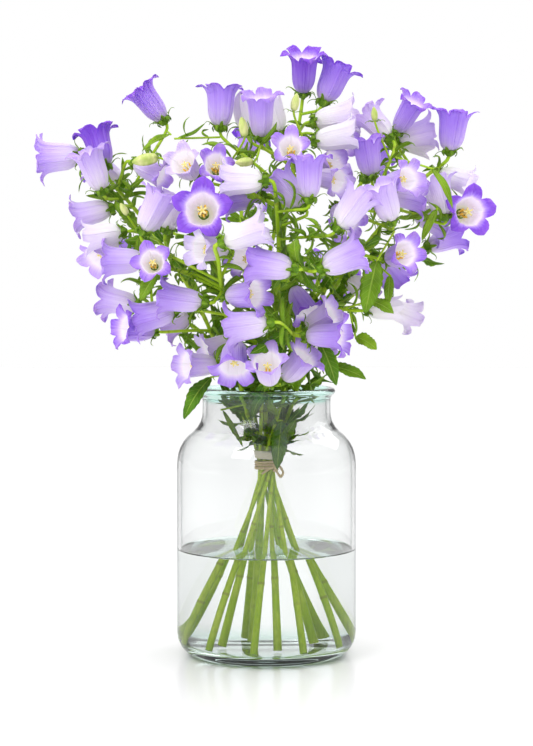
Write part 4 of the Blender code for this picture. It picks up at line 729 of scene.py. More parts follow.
class BELLS_OT_water(bpy.types.Operator):
    """Make the water with its curved edge"""
    bl_idname = "bells.water"
    bl_label = "Water"

    def execute(self, context):
        level = context.scene.bells_jar.water_level / MM
        top = ((0, level - 0.4), (40, level - 0.4), (72, level - 0.4), (77, level - 0.3), (79.3, level - 0.05),
               (80.5, level + 0.4), (81.1, level + 0.9), (81.36, level + 1.5))
        side = ((81.36, level + 1.5), (81.36, 60), (81.36, 26), (80.66, 19.7), (78.5, 14.9), (74.7, 12), (69, 10.6),
                (58, 10.1), (30, 10.4), (0, 10.7))
        shape = Shape()
        shape.sheet(revolve(top, 144)[::-1])
        shape.sheet(revolve(side, 144)[::-1], part=1)
        water = to_object("water_in_jar", shape.mesh("water_in_jar"))
        # the water's edge colour is painted shade where its surface is seen edge on
        water.data.materials.append(clear("water_surface", paint("E4F3EE"), paint("B4D8CC"), 1.333, 0.3))
        water.data.materials.append(nothing("water_side"))
        part = np.zeros(len(water.data.polygons), np.int32)
        water.data.attributes["part"].data.foreach_get("value", part)
        water.data.polygons.foreach_set("material_index", part)
        keep(water, "water", "water")
        return {"FINISHED"}


# ---------------------------------------------------------------- bells

LOBES, PER_LOBE, LOBE_ROWS = 5, 10, 11
TUBE_PROFILE = ((0, 0.5), (2.4, 0.35), (4.6, 1.0), (6.9, 2.9), (8.7, 5.8), (10.0, 9.6), (10.9, 14), (11.7, 24),
                (12.3, 29))
# flare, radius and height of the lobe tips, curl of the tips in radians, how full the tube is, how deep
# the lobes are cut from 0 to 1, how blunt they are
BELL_KINDS = ((0.3, 13.5, 40.5, 0.3, 1.02, 0.7, 2.0), (0.3, 12.6, 41.0, 0.1, 0.94, 0.7, 2.0),
              (0.8, 17.0, 40.5, 0.7, 1.0, 0.68, 2.1), (0.9, 18.5, 40.5, 1.1, 1.06, 0.66, 2.2),
              (1.0, 20.5, 39.5, 1.5, 0.94, 0.70, 2.0), (1.0, 21.5, 39.0, 1.2, 1.02, 0.64, 2.4),
              (1.0, 19.5, 40.5, 1.9, 0.92, 0.70, 2.0), (1.0, 20.5, 40.0, 0.8, 1.08, 0.62, 2.5),
              (1.0, 22.0, 38.5, 1.6, 1.0, 0.66, 2.2), (1.1, 22.8, 37.0, 0.5, 1.04, 0.60, 2.3),
              (1.1, 22.4, 37.5, 0.8, 1.02, 0.62, 2.2), (1.1, 23.0, 36.5, 0.3, 1.06, 0.58, 2.4))


def bell_wall(kind, rng):
    """The (turns, rows, 3) grid of the outside of a bell from its foot to the edges of its lobes."""
    flare, tip_r, tip_z, curled, full_tube, cut, blunt = kind
    throat = 12.3 * full_tube
    turns = LOBES * PER_LOBE
    theta = np.arange(turns) * math.tau / turns
    phase = (np.arange(turns) / PER_LOBE + 0.5) % 1.0 - 0.5
    lobe = (np.arange(turns) / PER_LOBE + 0.5).astype(int) % LOBES
    lean = math.atan2(tip_r - throat, tip_z - 29.0)
    start = min(math.radians(10.0), lean * 0.5)
    spread = max(2.0 * (lean - start), 0.1)
    reach = math.hypot(tip_r - throat, tip_z - 29.0) * (spread / 2) / math.sin(spread / 2)
    curl = (curled * rng.uniform(0.6, 1.3, LOBES))[lobe]
    longer = (1.0 + rng.normal(0, 0.06, LOBES))[lobe]
    form = 0.88 * (1.0 - np.abs(2 * phase) ** blunt) + 0.12 * np.exp(-np.abs(phase) / 0.06)
    extent = reach * (1.0 - cut + (0.12 * longer + cut) * form)
    low = curve_through([(r * (full_tube if r > 5 else 1.0), z, 0) for r, z in TUBE_PROFILE], 3.0)[:, :2]
    columns = []
    for k in range(turns):
        a = np.linspace(0.0, extent[k], LOBE_ROWS)[1:]
        fine = np.linspace(0.0, extent[k], 60)
        angle = start + spread * fine / reach + curl[k] * smooth(0.60 * reach, 1.12 * reach, fine)
        step = fine[1] - fine[0]
        r = throat + np.append(0.0, np.cumsum(np.sin(angle[1:]) * step))
        z = 29.0 + np.append(0.0, np.cumsum(np.cos(angle[1:]) * step))
        columns.append(np.vstack([low, np.stack([np.interp(a, fine, r), np.interp(a, fine, z)], 1)]))
    line = np.array(columns)
    r, z = line[:, :, 0].copy(), line[:, :, 1].copy()
    rows = line.shape[1]
    out = np.clip((np.arange(rows) - (rows - LOBE_ROWS)) / (LOBE_ROWS - 1.0), 0.0, 1.0)[None]
    tall = smooth(2.0, 12.0, z)
    p = phase[:, None]
    deep = rng.uniform(0.5, 1.2, LOBES)[lobe][:, None]
    ridge = 0.55 * np.exp(-(p / 0.07) ** 2) - 0.6 * deep * np.exp(-((np.abs(p) - 0.5) / 0.10) ** 2)
    ridge = ridge + 0.28 * np.cos(p * math.tau * 2.0) + 0.16 * np.sin(p * math.tau * 3.0 + deep * 5.0)
    r = r + ridge * tall * (1.0 - 0.5 * out)
    wave = rng.uniform(0, math.tau, LOBES)[lobe][:, None]
    ruffle = np.sin(p * math.tau * 1.5 + wave) * 0.8 + np.sin(p * math.tau * 3.5 + wave * 2.0) * 0.35
    crease = np.exp(-np.abs(p) / 0.10)
    z = z + out ** 1.5 * ruffle * 0.9 - out * crease * 0.5
    r = r + out * (ruffle * 0.35 + crease * 0.5)
    sway = rng.normal(0, 0.06, LOBES)[lobe][:, None] * out
    turn = theta[:, None] + sway
    low_wave = 1.0 + rng.uniform(0.01, 0.05) * np.cos(2.0 * turn + rng.uniform(0, math.tau)) * tall
    return np.stack([r * np.cos(turn) * low_wave, r * np.sin(turn) * low_wave, z], 2)


def bell_shape(kind, thickness, rng):
    """One bell with its style and stamens, opening along +Z."""
    outer = bell_wall(kind, rng)
    across = np.roll(outer, -1, 0) - np.roll(outer, 1, 0)
    along = np.gradient(outer, axis=1)
    normal = np.cross(across, along)
    normal[:, 0] = (0, 0, -1)
    normal /= np.maximum(np.linalg.norm(normal, axis=2, keepdims=True), 1e-9)
    thin = thickness * np.linspace(1.0, 0.55, outer.shape[1])[None, :, None]
    inner = outer - normal * thin
    shape = Shape()
    both = np.concatenate([outer, inner[:, ::-1]], 1)
    v = tuple(np.linspace(0.0, 1.0, outer.shape[1])) + tuple(np.linspace(1.0, 2.0, outer.shape[1]))
    heights = np.concatenate([outer[:, :, 2], outer[:, ::-1, 2]], 1).ravel() / 40.0
    inside = np.concatenate([np.zeros(outer.shape[:2]), np.ones(outer.shape[:2])], 1).ravel()
    shape.sheet(both, 0, u=(0.0, 5.0), v=v, height=heights, inside=inside)
    style = [(0, 0, 0.9), (0.3, 0.1, 10), (-0.2, 0.3, 18), (0.1, 0.2, 23.5)]
    shape.tube(style, (0.9, 0.65, 0.6, 0.75), 6, 1)
    for k in range(5):
        a = math.tau * k / 5 + 0.3
        out = np.array([math.cos(a), math.sin(a), 0.0])
        curl = rng.uniform(0.7, 1.1)
        arm = [np.array((0.1, 0.2, 23.0)), out * 1.2 + (0, 0, 25.4), out * 3.0 * curl + (0, 0, 26.4),
               out * 4.2 * curl + (0, 0, 25.2)]
        shape.tube(curve_through(arm, 2.2), 0.85, 5, 1)
        a += math.tau / 10
        out = np.array([math.cos(a), math.sin(a), 0.0])
        shape.tube([out * 2.0 + (0, 0, 1.2), out * 2.6 + (0, 0, 4.5), out * 2.3 + (0, 0, 9.0)], (1.5, 0.8, 0.3), 5, 1)
        bend = rng.uniform(-0.8, 1.6)
        anther = [out * 2.3 + (0, 0, 8.6), out * (2.9 + bend) + (0, 0, 12.0), out * (2.5 + bend) + (0, 0, 16.5),
                  out * (3.6 + bend) + (0, 0, 19.0)]
        shape.tube(curve_through(anther, 3.0), 0.95, 5, 2)
    return shape


def petal_finish(settings):
    """Pale at the calyx, lilac to purple at the lobes, with ribs and fine veins. Inside the tube it is paler and glows
    faintly: painted light that stands in for light shining through the petal, the paleness partly the petal's own.
    """
    look = Finish("petal")
    uv, u, v = look.uv()
    inside, tone, height = look.value("inside"), look.value("tone"), look.value("height")
    cell = (u.math("FRACT") - 0.5).math("ABSOLUTE") * 2.0
    rib = cell.step(0.86, 1.0)
    fine = look.noise(look.stretched(uv, 14.0, 1.1, 1.0), 2.2, 3.0, 0.6)
    broad = look.noise(look.stretched(uv, 3.1, 0.7, 1.0), 2.0, 2.0, 0.5)
    cloud = look.noise(look.place(), 45.0, 2.0)
    veins = look.add("ShaderNodeTexWave", {"wave_type": "BANDS", "bands_direction": "X"},
                     {"Vector": uv, "Scale": 2.4, "Distortion": 2.5, "Detail": 2.0, "Detail Scale": 1.0}, out=1)
    vein = veins.step(0.70, 1.0)
    rise = height.step(0.0, 1.0)
    edge = (1.0 - (v - 1.0).math("ABSOLUTE")).step(0.80, 1.0)
    low = (tone ** 1.4) * 0.62
    high = tone * 0.92 + 0.10
    amount = low + (high - low) * rise + ((fine - 0.5) * 0.35 + (broad - 0.5) * 0.5 + (cloud - 0.5) * 0.2) * (tone + 0.12)
    amount = amount + edge * 0.30 * (tone + 0.1) + (rib * 0.10 + vein * 0.06) * (tone + 0.1)
    # the inside of the tube is paler up to the lobes: partly its own paler colour, partly painted light that stands in
    # for light shining through the petal
    amount = (amount * (1.0 - inside * (1.0 - height.step(0.70, 0.92)) * 0.9)).clamp()
    colours = look.add("ShaderNodeValToRGB", {"stops": (
        (0.0, settings.pale), (0.22, paint("DDD0F7")), (0.5, settings.lilac), (0.78, paint("A580E2")),
        (1.0, settings.purple))}, {0: amount})
    foot = (1.0 - height.step(0.0, 0.22)) * (0.35 + inside * 0.35)
    green = look.mix(foot, colours, paint("E9EDC2"))
    # painted light: the inside of the tube glows faintly in its own colour, standing in for light that shines through
    # the thin petal
    painted_inner_glow = look.mix(inside * (1.0 - height.step(0.70, 0.95)), (0.0, 0.0, 0.0), green)
    bump = look.bump(fine * 0.6 + broad * 0.5 + rib * 0.8 + vein * 0.3, 0.0007)
    return look.done(look.principled(Base_Color=green, Roughness=0.5, Specular_IOR_Level=0.2,
                                     Subsurface_Weight=0.85, Subsurface_Radius=(1.0, 0.9, 1.0),
                                     Subsurface_Scale=0.0007, Emission_Color=painted_inner_glow, Emission_Strength=0.2,
                                     Normal=bump))


def plain_finish(name, low, high, scale, roughness, stretch=(1.0, 1.0, 1.0), bump=0.0003):
    """Two close colours that meet in a fine grain."""
    look = Finish(name)
    grain = look.noise(look.stretched(look.place(), *stretch), scale, 4.0, 0.6)
    tone = look.mix(grain.step(0.3, 0.7), low, high)
    return look.done(look.principled(Base_Color=tone, Roughness=roughness, Specular_IOR_Level=0.25,
                                     Normal=look.bump(grain, bump)))


def spin_matrix(axis, spin):
    """How a shape that opens along +Z is turned so that it opens along the axis."""
    side, across = frame_of(axis)
    turn = Matrix(np.stack([side, across, axis], 1).tolist())
    return turn @ Matrix.Rotation(math.radians(spin), 3, "Z")


def axis_of(heading, turn):
    """A unit vector from its angle in the picture and its turn to the viewer, in degrees."""
    a, t = math.radians(heading), math.radians(turn)
    return np.array([math.cos(t) * math.cos(a), -math.sin(t), math.cos(t) * math.sin(a)])


def bell_rows():
    """Node, foot, axis, size, tone, flare, spin and sepal folds of each bell."""
    rows = []
    for node, x, y, z, heading, turn, size, tone, flare, spin, folds in BELLS:
        axis = axis_of(heading / 10.0, turn / 10.0)
        size /= 100.0
        foot = np.array([x, y, z]) / 10.0 - axis * 36.0 * size
        rows.append((int(node), foot, axis, size, tone / 100.0, flare / 10.0, spin, "%05d" % folds))
    return rows


def points_object(name, points, **values):
    """A mesh of loose points in metres that carries a value for each."""
    mesh = bpy.data.meshes.new(name)
    mesh.from_pydata((np.asarray(points) * MM).tolist(), [], [])
    for key, kept in values.items():
        kept = np.asarray(kept)
        kind = "FLOAT_VECTOR" if kept.ndim > 1 else "INT" if kept.dtype.kind == "i" else "FLOAT"
        field = "vector" if kept.ndim > 1 else "value"
        mesh.attributes.new(key, kind, "POINT").data.foreach_set(field, kept.ravel())
    return mesh


def repeat_tree(name, materials):
    """Put one of the prototypes on each point, turned and scaled by the point's own values."""
    inputs = {"Prototypes": "Collection"}
    inputs.update({key: "Material" for key in materials})
    tree = Growth(name, **inputs)
    shapes = tree.add("GeometryNodeCollectionInfo", {}, {"Collection": tree.input("Prototypes"),
                                                         "Separate Children": True, "Reset Children": True})
    turn = tree.add("FunctionNodeEulerToRotation", {}, {0: tree.named("turn", "FLOAT_VECTOR")})
    copies = tree.add("GeometryNodeInstanceOnPoints", {}, {
        "Points": tree.input(), "Instance": shapes, "Pick Instance": True,
        "Instance Index": tree.named("kind", "INT"), "Rotation": turn, "Scale": tree.named("size")})
    return tree, copies


class BELLS_OT_bells(bpy.types.Operator):
    """Make the bells, one piece for each group that touches"""
    bl_idname = "bells.bells"
    bl_label = "Bells"

    def execute(self, context):
        settings = context.scene.bells_bells
        rng = np.random.default_rng(settings.seed)
        home = helper_collection("bell_prototypes")
        flares = np.array([kind[0] for kind in BELL_KINDS])
        for number, kind in enumerate(BELL_KINDS):
            mesh = bell_shape(kind, settings.petal_thickness / MM, rng).mesh("bell_%02d" % number)
            home.objects.link(bpy.data.objects.new("bell_%02d" % number, mesh))
        looks = {"Petal": petal_finish(settings),
                 "Style": plain_finish("style", paint("FBF3B4"), paint("F2E27A"), 900.0, 0.55),
                 "Stamen": plain_finish("stamen", paint("FFDD55"), paint("F0B83A"), 1500.0, 0.8)}
        tree, copies = repeat_tree("bells_on_points", looks)
        tree.finish(copies, looks)
        rows = bell_rows()
        for number in sorted({row[0] for row in rows}):
            mine = [(i, row) for i, row in enumerate(rows) if row[0] == number]
            kinds = []
            for i, row in mine:
                gaps = np.abs(flares - row[5])
                same = np.flatnonzero(gaps < gaps.min() + 1e-6)
                kinds.append(int(same[i % len(same)]))
            turns = [tuple(spin_matrix(row[2], row[6]).to_euler()) for _, row in mine]
            name = "bells_group_%02d" % number
            mesh = points_object(name, [row[1] for _, row in mine], turn=turns, kind=np.array(kinds, np.int32),
                                 size=[row[3] for _, row in mine], tone=[row[4] for _, row in mine])
            obj = tree.grow(to_object(name, mesh), Prototypes=home, **looks)
            tone = float(np.mean([row[4] for _, row in mine]))
            keep(obj, "bells_%02d" % number,
                 "white_petal" if tone < 0.2 else "lilac_petal" if tone < 0.7 else "purple_petal")
        return {"FINISHED"}


# ---------------------------------------------------------------- green

# the line of a sepal as (reach, rise), from one that spreads to one that is folded right back
FOLDS = (((2.5, -1.5), (6, 1.2), (10, 3.9), (13.8, 4.4), (15.8, 2.2)), ((2.5, -1.5), (6.5, 0.2), (10.5, 1.2), (14, 0.2), (16, -2.6)),
         ((2.5, -1.5), (6.5, -0.6), (10, -1.6), (12.6, -4.4), (13.2, -7.6)),
         ((2.5, -1.5), (6, -1.2), (8.8, -3.6), (9.9, -7.0), (9.3, -10.2)),
         ((2.5, -1.5), (4.8, -1.8), (6.2, -3.4), (6.8, -5.2), (6.4, -6.6)))
# length, width and droop of the bracts
BRACTS = ((17, 4.0, 4.0), (21, 4.6, 7.0), (25, 5.4, 10.0), (29, 6.0, 7.0), (22, 3.6, 11.0))
STEM_RADII = ((11.9, 145.0, 178.0, 246.0, 420.0, 560.0), (3.4, 1.9, 1.65, 1.95, 1.85, 1.5))


def knotted(line, radius, rng, gap):
    """The radius along a stem, thicker at its joints, and how near each point is to one."""
    step = np.append(0.0, np.cumsum(np.linalg.norm(np.diff(line, axis=0), axis=1)))
    knots = np.cumsum(rng.uniform(0.7, 1.3, 60) * gap) + rng.uniform(0, gap)
    near = np.exp(-((step[:, None] - knots[None]) / 2.0) ** 2).max(1)
    return radius * (1.0 + 0.13 * near), near


def eased(points, step=3.0, rounds=3):
    """A line in straight parts with its corners rounded, and a point about every step."""
    line = np.asarray(points, float)
    for _ in range(rounds):
        a, b = line[:-1], line[1:]
        cut = np.stack([a * 0.75 + b * 0.25, a * 0.25 + b * 0.75], 1).reshape(-1, 3)
        line = np.vstack([line[0], cut[1:-1], line[-1]])
    run = np.append(0.0, np.cumsum(np.linalg.norm(np.diff(line, axis=0), axis=1)))
    at = np.linspace(0.0, run[-1], max(3, int(run[-1] / step)))
    return np.stack([np.interp(at, run, line[:, c]) for c in range(3)], 1)


def stem_lines(rng):
    """Every stem and stalk as (owner, line, radius, nearness to a joint)."""
    rows = bell_rows()
    lines = []
    for k, top in enumerate(TOP_BELLS):
        points = STEM_POINTS[STEM_POINTS[:, 0] == k, 1:] / 10.0
        line = eased(points)
        radius = np.interp(line[:, 2], *STEM_RADII)
        lines.append((k, line, *knotted(line, radius, rng, 38.0)))
    for bell, stem, *numbers in STALKS:
        _, foot, axis, *_ = rows[int(bell)]
        root, knee = np.array(numbers).reshape(2, 3) / 10.0
        line = eased([root, knee, foot - axis * 9.0, foot - axis * 2.2])
        radius = np.full(len(line), 1.45)
        lines.append((int(stem), line, *knotted(line, radius, rng, 24.0)))
    for row in LEAVES:
        start, root = row[14:17] / 10.0, row[1:4] / 10.0
        if np.linalg.norm(root - start) > 1.0:
            line = eased([start, (start + root) / 2, root + unit(root - start) * 1.5])
            lines.append((int(row[0]), line, np.full(len(line), 0.95), np.zeros(len(line))))
    for row in BUDS:
        foot, axis, root = row[1:4] / 10.0, row[4:7] / 100.0, row[8:11] / 10.0
        line = eased([root, foot - axis * 3.0, foot + axis * 2.0])
        lines.append((int(row[0]), line, np.full(len(line), 1.0), np.zeros(len(line))))
    return lines


def lines_mesh(name, lines):
    """Edges along some lines in metres, with a radius and a joint value at each point."""
    points, edges, count = [], [], 0
    for _, line, _, _ in lines:
        points.append(line)
        edges += [(count + i, count + i + 1) for i in range(len(line) - 1)]
        count += len(line)
    mesh = bpy.data.meshes.new(name)
    mesh.from_pydata((np.concatenate(points) * MM).tolist(), edges, [])
    for key, place in (("radius", 2), ("knot", 3)):
        kept = np.concatenate([row[place] for row in lines]) * (MM if key == "radius" else 1.0)
        mesh.attributes.new(key, "FLOAT", "POINT").data.foreach_set("value", kept)
    return mesh


def blade(shape, line, side, half, thickness, rng, teeth=0.10, fold=0.35, wave=0.25, columns=3, shade=0.5, part=1):
    """A leaf with a fold along its midrib, waved and toothed edges, and two faces that meet at its edge."""
    rows = len(line)
    along = np.linspace(0.0, 1.0, rows)
    way = tangents(line)
    face = np.cross(side, way)
    face /= np.maximum(np.linalg.norm(face, axis=1, keepdims=True), 1e-9)
    half = half * (1.0 + teeth * np.abs(np.sin(along * math.pi * rows / 3.2)) - teeth * 0.5)
    q = np.concatenate([np.linspace(-1, 1, 2 * columns + 1), np.linspace(1, -1, 2 * columns + 1)[1:-1]])
    up = np.concatenate([np.full(2 * columns + 1, 0.5), np.full(2 * columns - 1, -0.5)]) * thickness
    up[[0, 2 * columns]] = 0.0
    phase = rng.uniform(0, math.tau, 2)
    lift = (fold * np.abs(q)[:, None] * half[None]
            + wave * np.abs(q)[:, None] ** 1.5 * half[None]
            * np.where(q[:, None] > 0, np.sin(along * 11.0 + phase[0]), np.sin(along * 10.0 + phase[1])))
    ribbed = 0.10 * np.sin(along * rows * 2.0)[None] * (1 - np.abs(q))[:, None] * np.minimum(half[None] / 6.0, 1.0)
    grid = (line[None] + side[None, None] * (q[:, None] * half[None])[:, :, None]
            + face[None] * (lift + ribbed + up[:, None])[:, :, None])
    grid[:, 0], grid[:, -1] = line[0], line[-1]
    across = tuple((q + 1) / 2) + (0.0,)
    number = len(shape.uvs)
    shape.sheet(grid, part, shade=shade)
    uv = shape.uvs[number].reshape(-1, 4, 2)
    i = np.repeat(np.arange(len(q)), rows - 1)
    across = np.array(across)
    uv[:, :, 0] = np.stack([across[i], across[i + 1], across[i + 1], across[i]], 1)


def leaf_half(width, u):
    """Half the width of a blade at u, from its root to its tip."""
    return 0.5 * width * np.maximum(np.sin(math.pi * np.clip(u, 0, 1) ** 0.85), 0.0) ** 0.75


def sepal_shape(path, rng):
    """One sepal that spreads or folds back from the foot of a bell, standing out along +X."""
    shape = Shape()
    line = curve_through([(reach, 0, rise) for reach, rise in path], 1.6)
    u = np.linspace(0, 1, len(line))
    half = 2.1 * (1.0 - u) ** 0.8 * (0.7 + 0.5 * np.sin(u * math.pi)) + 0.06
    blade(shape, line, np.array((0.0, 1.0, 0.0)), half, 0.5, rng, teeth=0.0, fold=0.25, wave=0.15, columns=2)
    return shape


def bract_shape(long, wide, droop, rng):
    """A narrow leaf that springs up from a stem and arches over, standing out along +X."""
    shape = Shape()
    line = curve_through([(0.8, 0, 0), (long * 0.3, 0, long * 0.20), (long * 0.62, 0, long * 0.26),
                          (long * 0.86, 0, long * 0.26 - droop * 0.35), (long, 0.8, long * 0.26 - droop)], 2.2)
    half = leaf_half(wide, np.linspace(0.06, 1.0, len(line)))
    blade(shape, line, np.array((0.0, 1.0, 0.0)), half, 0.4, rng, teeth=0.03, fold=0.35, wave=0.15, columns=2)
    return shape


def cup_shape(rng):
    """The green cup under a bell with its five flaps, in the frame of the bell's foot."""
    shape = Shape()
    sides = 30
    turn = np.arange(sides) * math.tau / sides
    profile = ((0, -5.0), (1.6, -4.8), (3.0, -4.0), (4.4, -2.6), (5.3, -1.0), (5.7, 0.4), (5.5, 1.6), (4.4, 1.4), (0, 1.2))
    columns = []
    for r, z in profile:
        rib = r * (1.0 + 0.09 * np.cos(5 * turn + math.pi) + 0.05 * np.cos(10 * turn))
        columns.append(np.stack([rib * np.cos(turn), rib * np.sin(turn), np.full(sides, z)], 1))
    shape.sheet(np.stack(columns, 1), 1, shade=0.2)
    for k in range(5):
        a = math.tau * (k + 0.5) / 5
        out, side = np.array([math.cos(a), math.sin(a), 0.0]), np.array([-math.sin(a), math.cos(a), 0.0])
        line = curve_through([out * 4.6 + (0, 0, 1.6), out * 7.0 + (0, 0, 0.6), out * 7.2 + (0, 0, -2.2),
                              out * 5.6 + (0, 0, -4.8)], 1.5)
        half = 2.3 * np.sin(np.linspace(0.35, math.pi, len(line))) ** 0.7 + 0.05
        blade(shape, line, side, half, 0.6, rng, teeth=0.0, fold=0.2, wave=0.35, columns=2, shade=0.35)
    return shape


def bud_shape():
    """A closed ribbed bud of length 1, along +Z."""
    shape = Shape()
    sides = 20
    turn = np.arange(sides) * math.tau / sides
    profile = ((0, 0.0), (0.10, 0.02), (0.17, 0.10), (0.205, 0.24), (0.225, 0.42), (0.21, 0.60), (0.165, 0.76),
               (0.10, 0.90), (0.04, 0.98), (0, 1.0))
    columns = []
    for r, z in profile:
        rib = r * (1.0 + 0.13 * np.cos(5 * turn + 1.5 * z))
        columns.append(np.stack([rib * np.cos(turn), rib * np.sin(turn), np.full(sides, z)], 1))
    shape.sheet(np.stack(columns, 1), 2, shade=0.5)
    return shape


def in_bell(points, rows):
    """Whether each point is in a bell or close to its wall."""
    hit = np.zeros(len(points), bool)
    for _, foot, axis, size, *_ in rows:
        away = points - foot
        along = away @ axis
        wide = np.linalg.norm(away - along[:, None] * axis, axis=1)
        wall = np.interp(along / size, (-1, 3, 9, 29, 34, 40), (5, 8.5, 11.5, 14, 18, 22)) * size
        hit |= (along > 2.0) & (along < 40.0 * size) & (wide < wall)
    return hit


def in_glass(points):
    """Whether each point is in the wall of the jar, or over its rim."""
    r, z = np.linalg.norm(points[:, :2], axis=1), points[:, 2]
    wall = (z < 256.0) & (r > np.interp(z, (110, 195, 212, 225, 256), (76, 74, 58, 52, 52))) & (r < 92.0)
    return wall | (z < 112.0)


def spots_on(lines, owner, low, high):
    """Points and ways along the green of one stem between two heights."""
    points, ways = [], []
    for number, line, _, _ in lines:
        if number == owner and len(line) > 5:
            inner = slice(1, -4)
            keep_these = (line[inner, 2] > low) & (line[inner, 2] < high)
            points.append(line[inner][keep_these])
            ways.append(tangents(line)[inner][keep_these])
    return np.concatenate(points), np.concatenate(ways)


def bract_rows(lines, owner, settings, rows):
    """Seeded pairs of bracts on the upper green of one stem, clear of the bells and the jar."""
    rng = np.random.default_rng(settings.seed * 100 + owner)
    points, ways = spots_on(lines, owner, 262.0, 570.0)
    found = []
    for spot in rng.permutation(len(points))[:int(len(points) * settings.bract_share)]:
        along, turn = ways[spot], rng.uniform(0, math.tau)
        side, across = frame_of(along)
        for opposite in (0.0, math.pi):
            out = side * math.cos(turn + opposite) + across * math.sin(turn + opposite)
            kind, size = int(rng.integers(len(BRACTS))), rng.uniform(0.75, 1.15)
            long = BRACTS[kind][0] * size
            line = points[spot] + out * long * np.array([[0.3], [0.6], [0.8], [1.0]]) + along * long * 0.2
            if not (in_bell(line, rows) | in_glass(line)).any():
                found.append((points[spot], out, along, kind, size))
    return found


def filler_rows(lines, owner, settings, rows):
    """Seeded toothed leaves in the neck of the jar and low in the crown, clear of bells and glass."""
    rng = np.random.default_rng(settings.seed * 1000 + owner)
    found = []
    for low, high, number, length_range, width_range in ((196, 262, 7, (22, 42), (8, 13)),
                                                         (262, 400, 12, (24, 46), (7, 12))):
        points, ways = spots_on(lines, owner, low, high)
        count = 0
        for _ in range(number * 12):
            spot, turn = rng.integers(len(points)), rng.uniform(0, math.tau)
            root, along = points[spot], ways[spot]
            side, across = frame_of(along)
            out = side * math.cos(turn) + across * math.sin(turn)
            way = unit(out + along * rng.uniform(-0.3, 1.3))
            long = rng.uniform(*length_range)
            blade_side = unit(np.cross(way, unit(np.cross(np.cross(along, out), way))))
            lift = unit(np.cross(blade_side, way)) * long * rng.uniform(0.04, 0.14)
            line = root + way * long * np.array([[0.3], [0.55], [0.8], [1.0]])
            if (in_bell(line, rows) | in_glass(line)).any():
                continue
            found.append((root, root + way * long, lift, rng.uniform(*width_range), blade_side))
            count += 1
            if count >= number:
                break
    return found


def stem_tree(materials):
    """Tubes along the lines, the cups, sepals and buds on their points, and the leaves as they are."""
    inputs = {"Prototypes": "Collection", "Lines": "Object", "Leaves": "Object", "Sides": "Int"}
    inputs.update({key: "Material" for key in materials})
    tree = Growth("leafy_stem", **inputs)
    shapes = tree.add("GeometryNodeCollectionInfo", {}, {"Collection": tree.input("Prototypes"),
                                                         "Separate Children": True, "Reset Children": True})
    turn = tree.add("FunctionNodeEulerToRotation", {}, {0: tree.named("turn", "FLOAT_VECTOR")})
    copies = tree.add("GeometryNodeInstanceOnPoints", {}, {
        "Points": tree.input(), "Instance": shapes, "Pick Instance": True,
        "Instance Index": tree.named("kind", "INT"), "Rotation": turn, "Scale": tree.named("size")})
    lines = tree.add("GeometryNodeObjectInfo", {}, {"Object": tree.input("Lines")}, out="Geometry")
    curves = tree.add("GeometryNodeMeshToCurve", {}, {"Mesh": lines})
    ring = tree.add("GeometryNodeCurvePrimitiveCircle", {}, {"Resolution": tree.input("Sides"), "Radius": 1.0})
    tubes = tree.add("GeometryNodeCurveToMesh", {}, {"Curve": curves, "Profile Curve": ring, "Fill Caps": True,
                                                     "Scale": tree.named("radius")})
    leaves = tree.add("GeometryNodeObjectInfo", {}, {"Object": tree.input("Leaves")}, out="Geometry")
    return tree.finish(tree.add("GeometryNodeJoinGeometry", {}, {0: [copies, tubes, leaves]}), materials)


def stem_finish(settings):
    """Fresh green with fine lengthwise streaks and browner joints, paler in the water and low in the jar: partly the
    stems' own paler lower part, partly painted light that makes up for the light the glass keeps off them.
    """
    look = Finish("stem")
    place = look.place()
    high = Link(look, look.add("ShaderNodeSeparateXYZ", {}, {0: place}).socket.node.outputs["Z"])
    streaks = look.noise(look.stretched(place, 1.0, 1.0, 0.06), 700.0, 3.0)
    patches = look.noise(place, 45.0, 2.0)
    tone = look.mix(patches.step(0.35, 0.7), settings.stem[:], paint("D2EA4A"))
    tone = look.mix(streaks.step(0.35, 0.75) * 0.45, tone, paint("8DBE16"))
    # partly painted light: the stems stay paler low in the jar, where glass and water keep light off them, and turn
    # darker green higher up
    tone = look.mix(high.step(0.15, 0.42) * 0.4, tone, paint("86B626"))
    tone = look.mix(look.value("knot").step(0.35, 0.95) * 0.45, tone, paint("8A8038"))
    return look.done(look.principled(Base_Color=tone, Roughness=0.42, Specular_IOR_Level=0.25,
                                     Normal=look.bump(streaks, 0.0004)))


def leaf_finish(settings):
    """Green with a pale midrib, arched side veins and a matt, uneven skin."""
    look = Finish("leaf")
    uv, u, v = look.uv()
    off = (u - 0.5).math("ABSOLUTE") * 2.0
    rib = 1.0 - off.step(0.02, 0.13)
    side = ((v * 9.0 - off * 1.6).math("FRACT") - 0.5).math("ABSOLUTE") * 2.0
    vein = side.step(0.80, 1.0) * off.step(0.05, 0.2)
    cloud = look.noise(look.place(), 70.0, 3.0)
    cells = look.noise(look.place(), 900.0, 2.0)
    tone = look.mix(look.value("shade"), settings.leaf[:], paint("A6CA2E"))
    tone = look.mix(cloud.step(0.3, 0.75) * 0.5, tone, paint("355F06"))
    tone = look.mix(rib * 0.6 + vein * 0.3, tone, paint("B4D45A"))
    bump = look.bump(cells * 0.4 - vein * 0.8 - rib * 1.5, 0.0004)
    return look.done(look.principled(Base_Color=tone, Roughness=0.5, Specular_IOR_Level=0.25,
                                     Subsurface_Weight=0.5, Subsurface_Radius=(0.6, 1.0, 0.2),
                                     Subsurface_Scale=0.0004, Normal=bump))


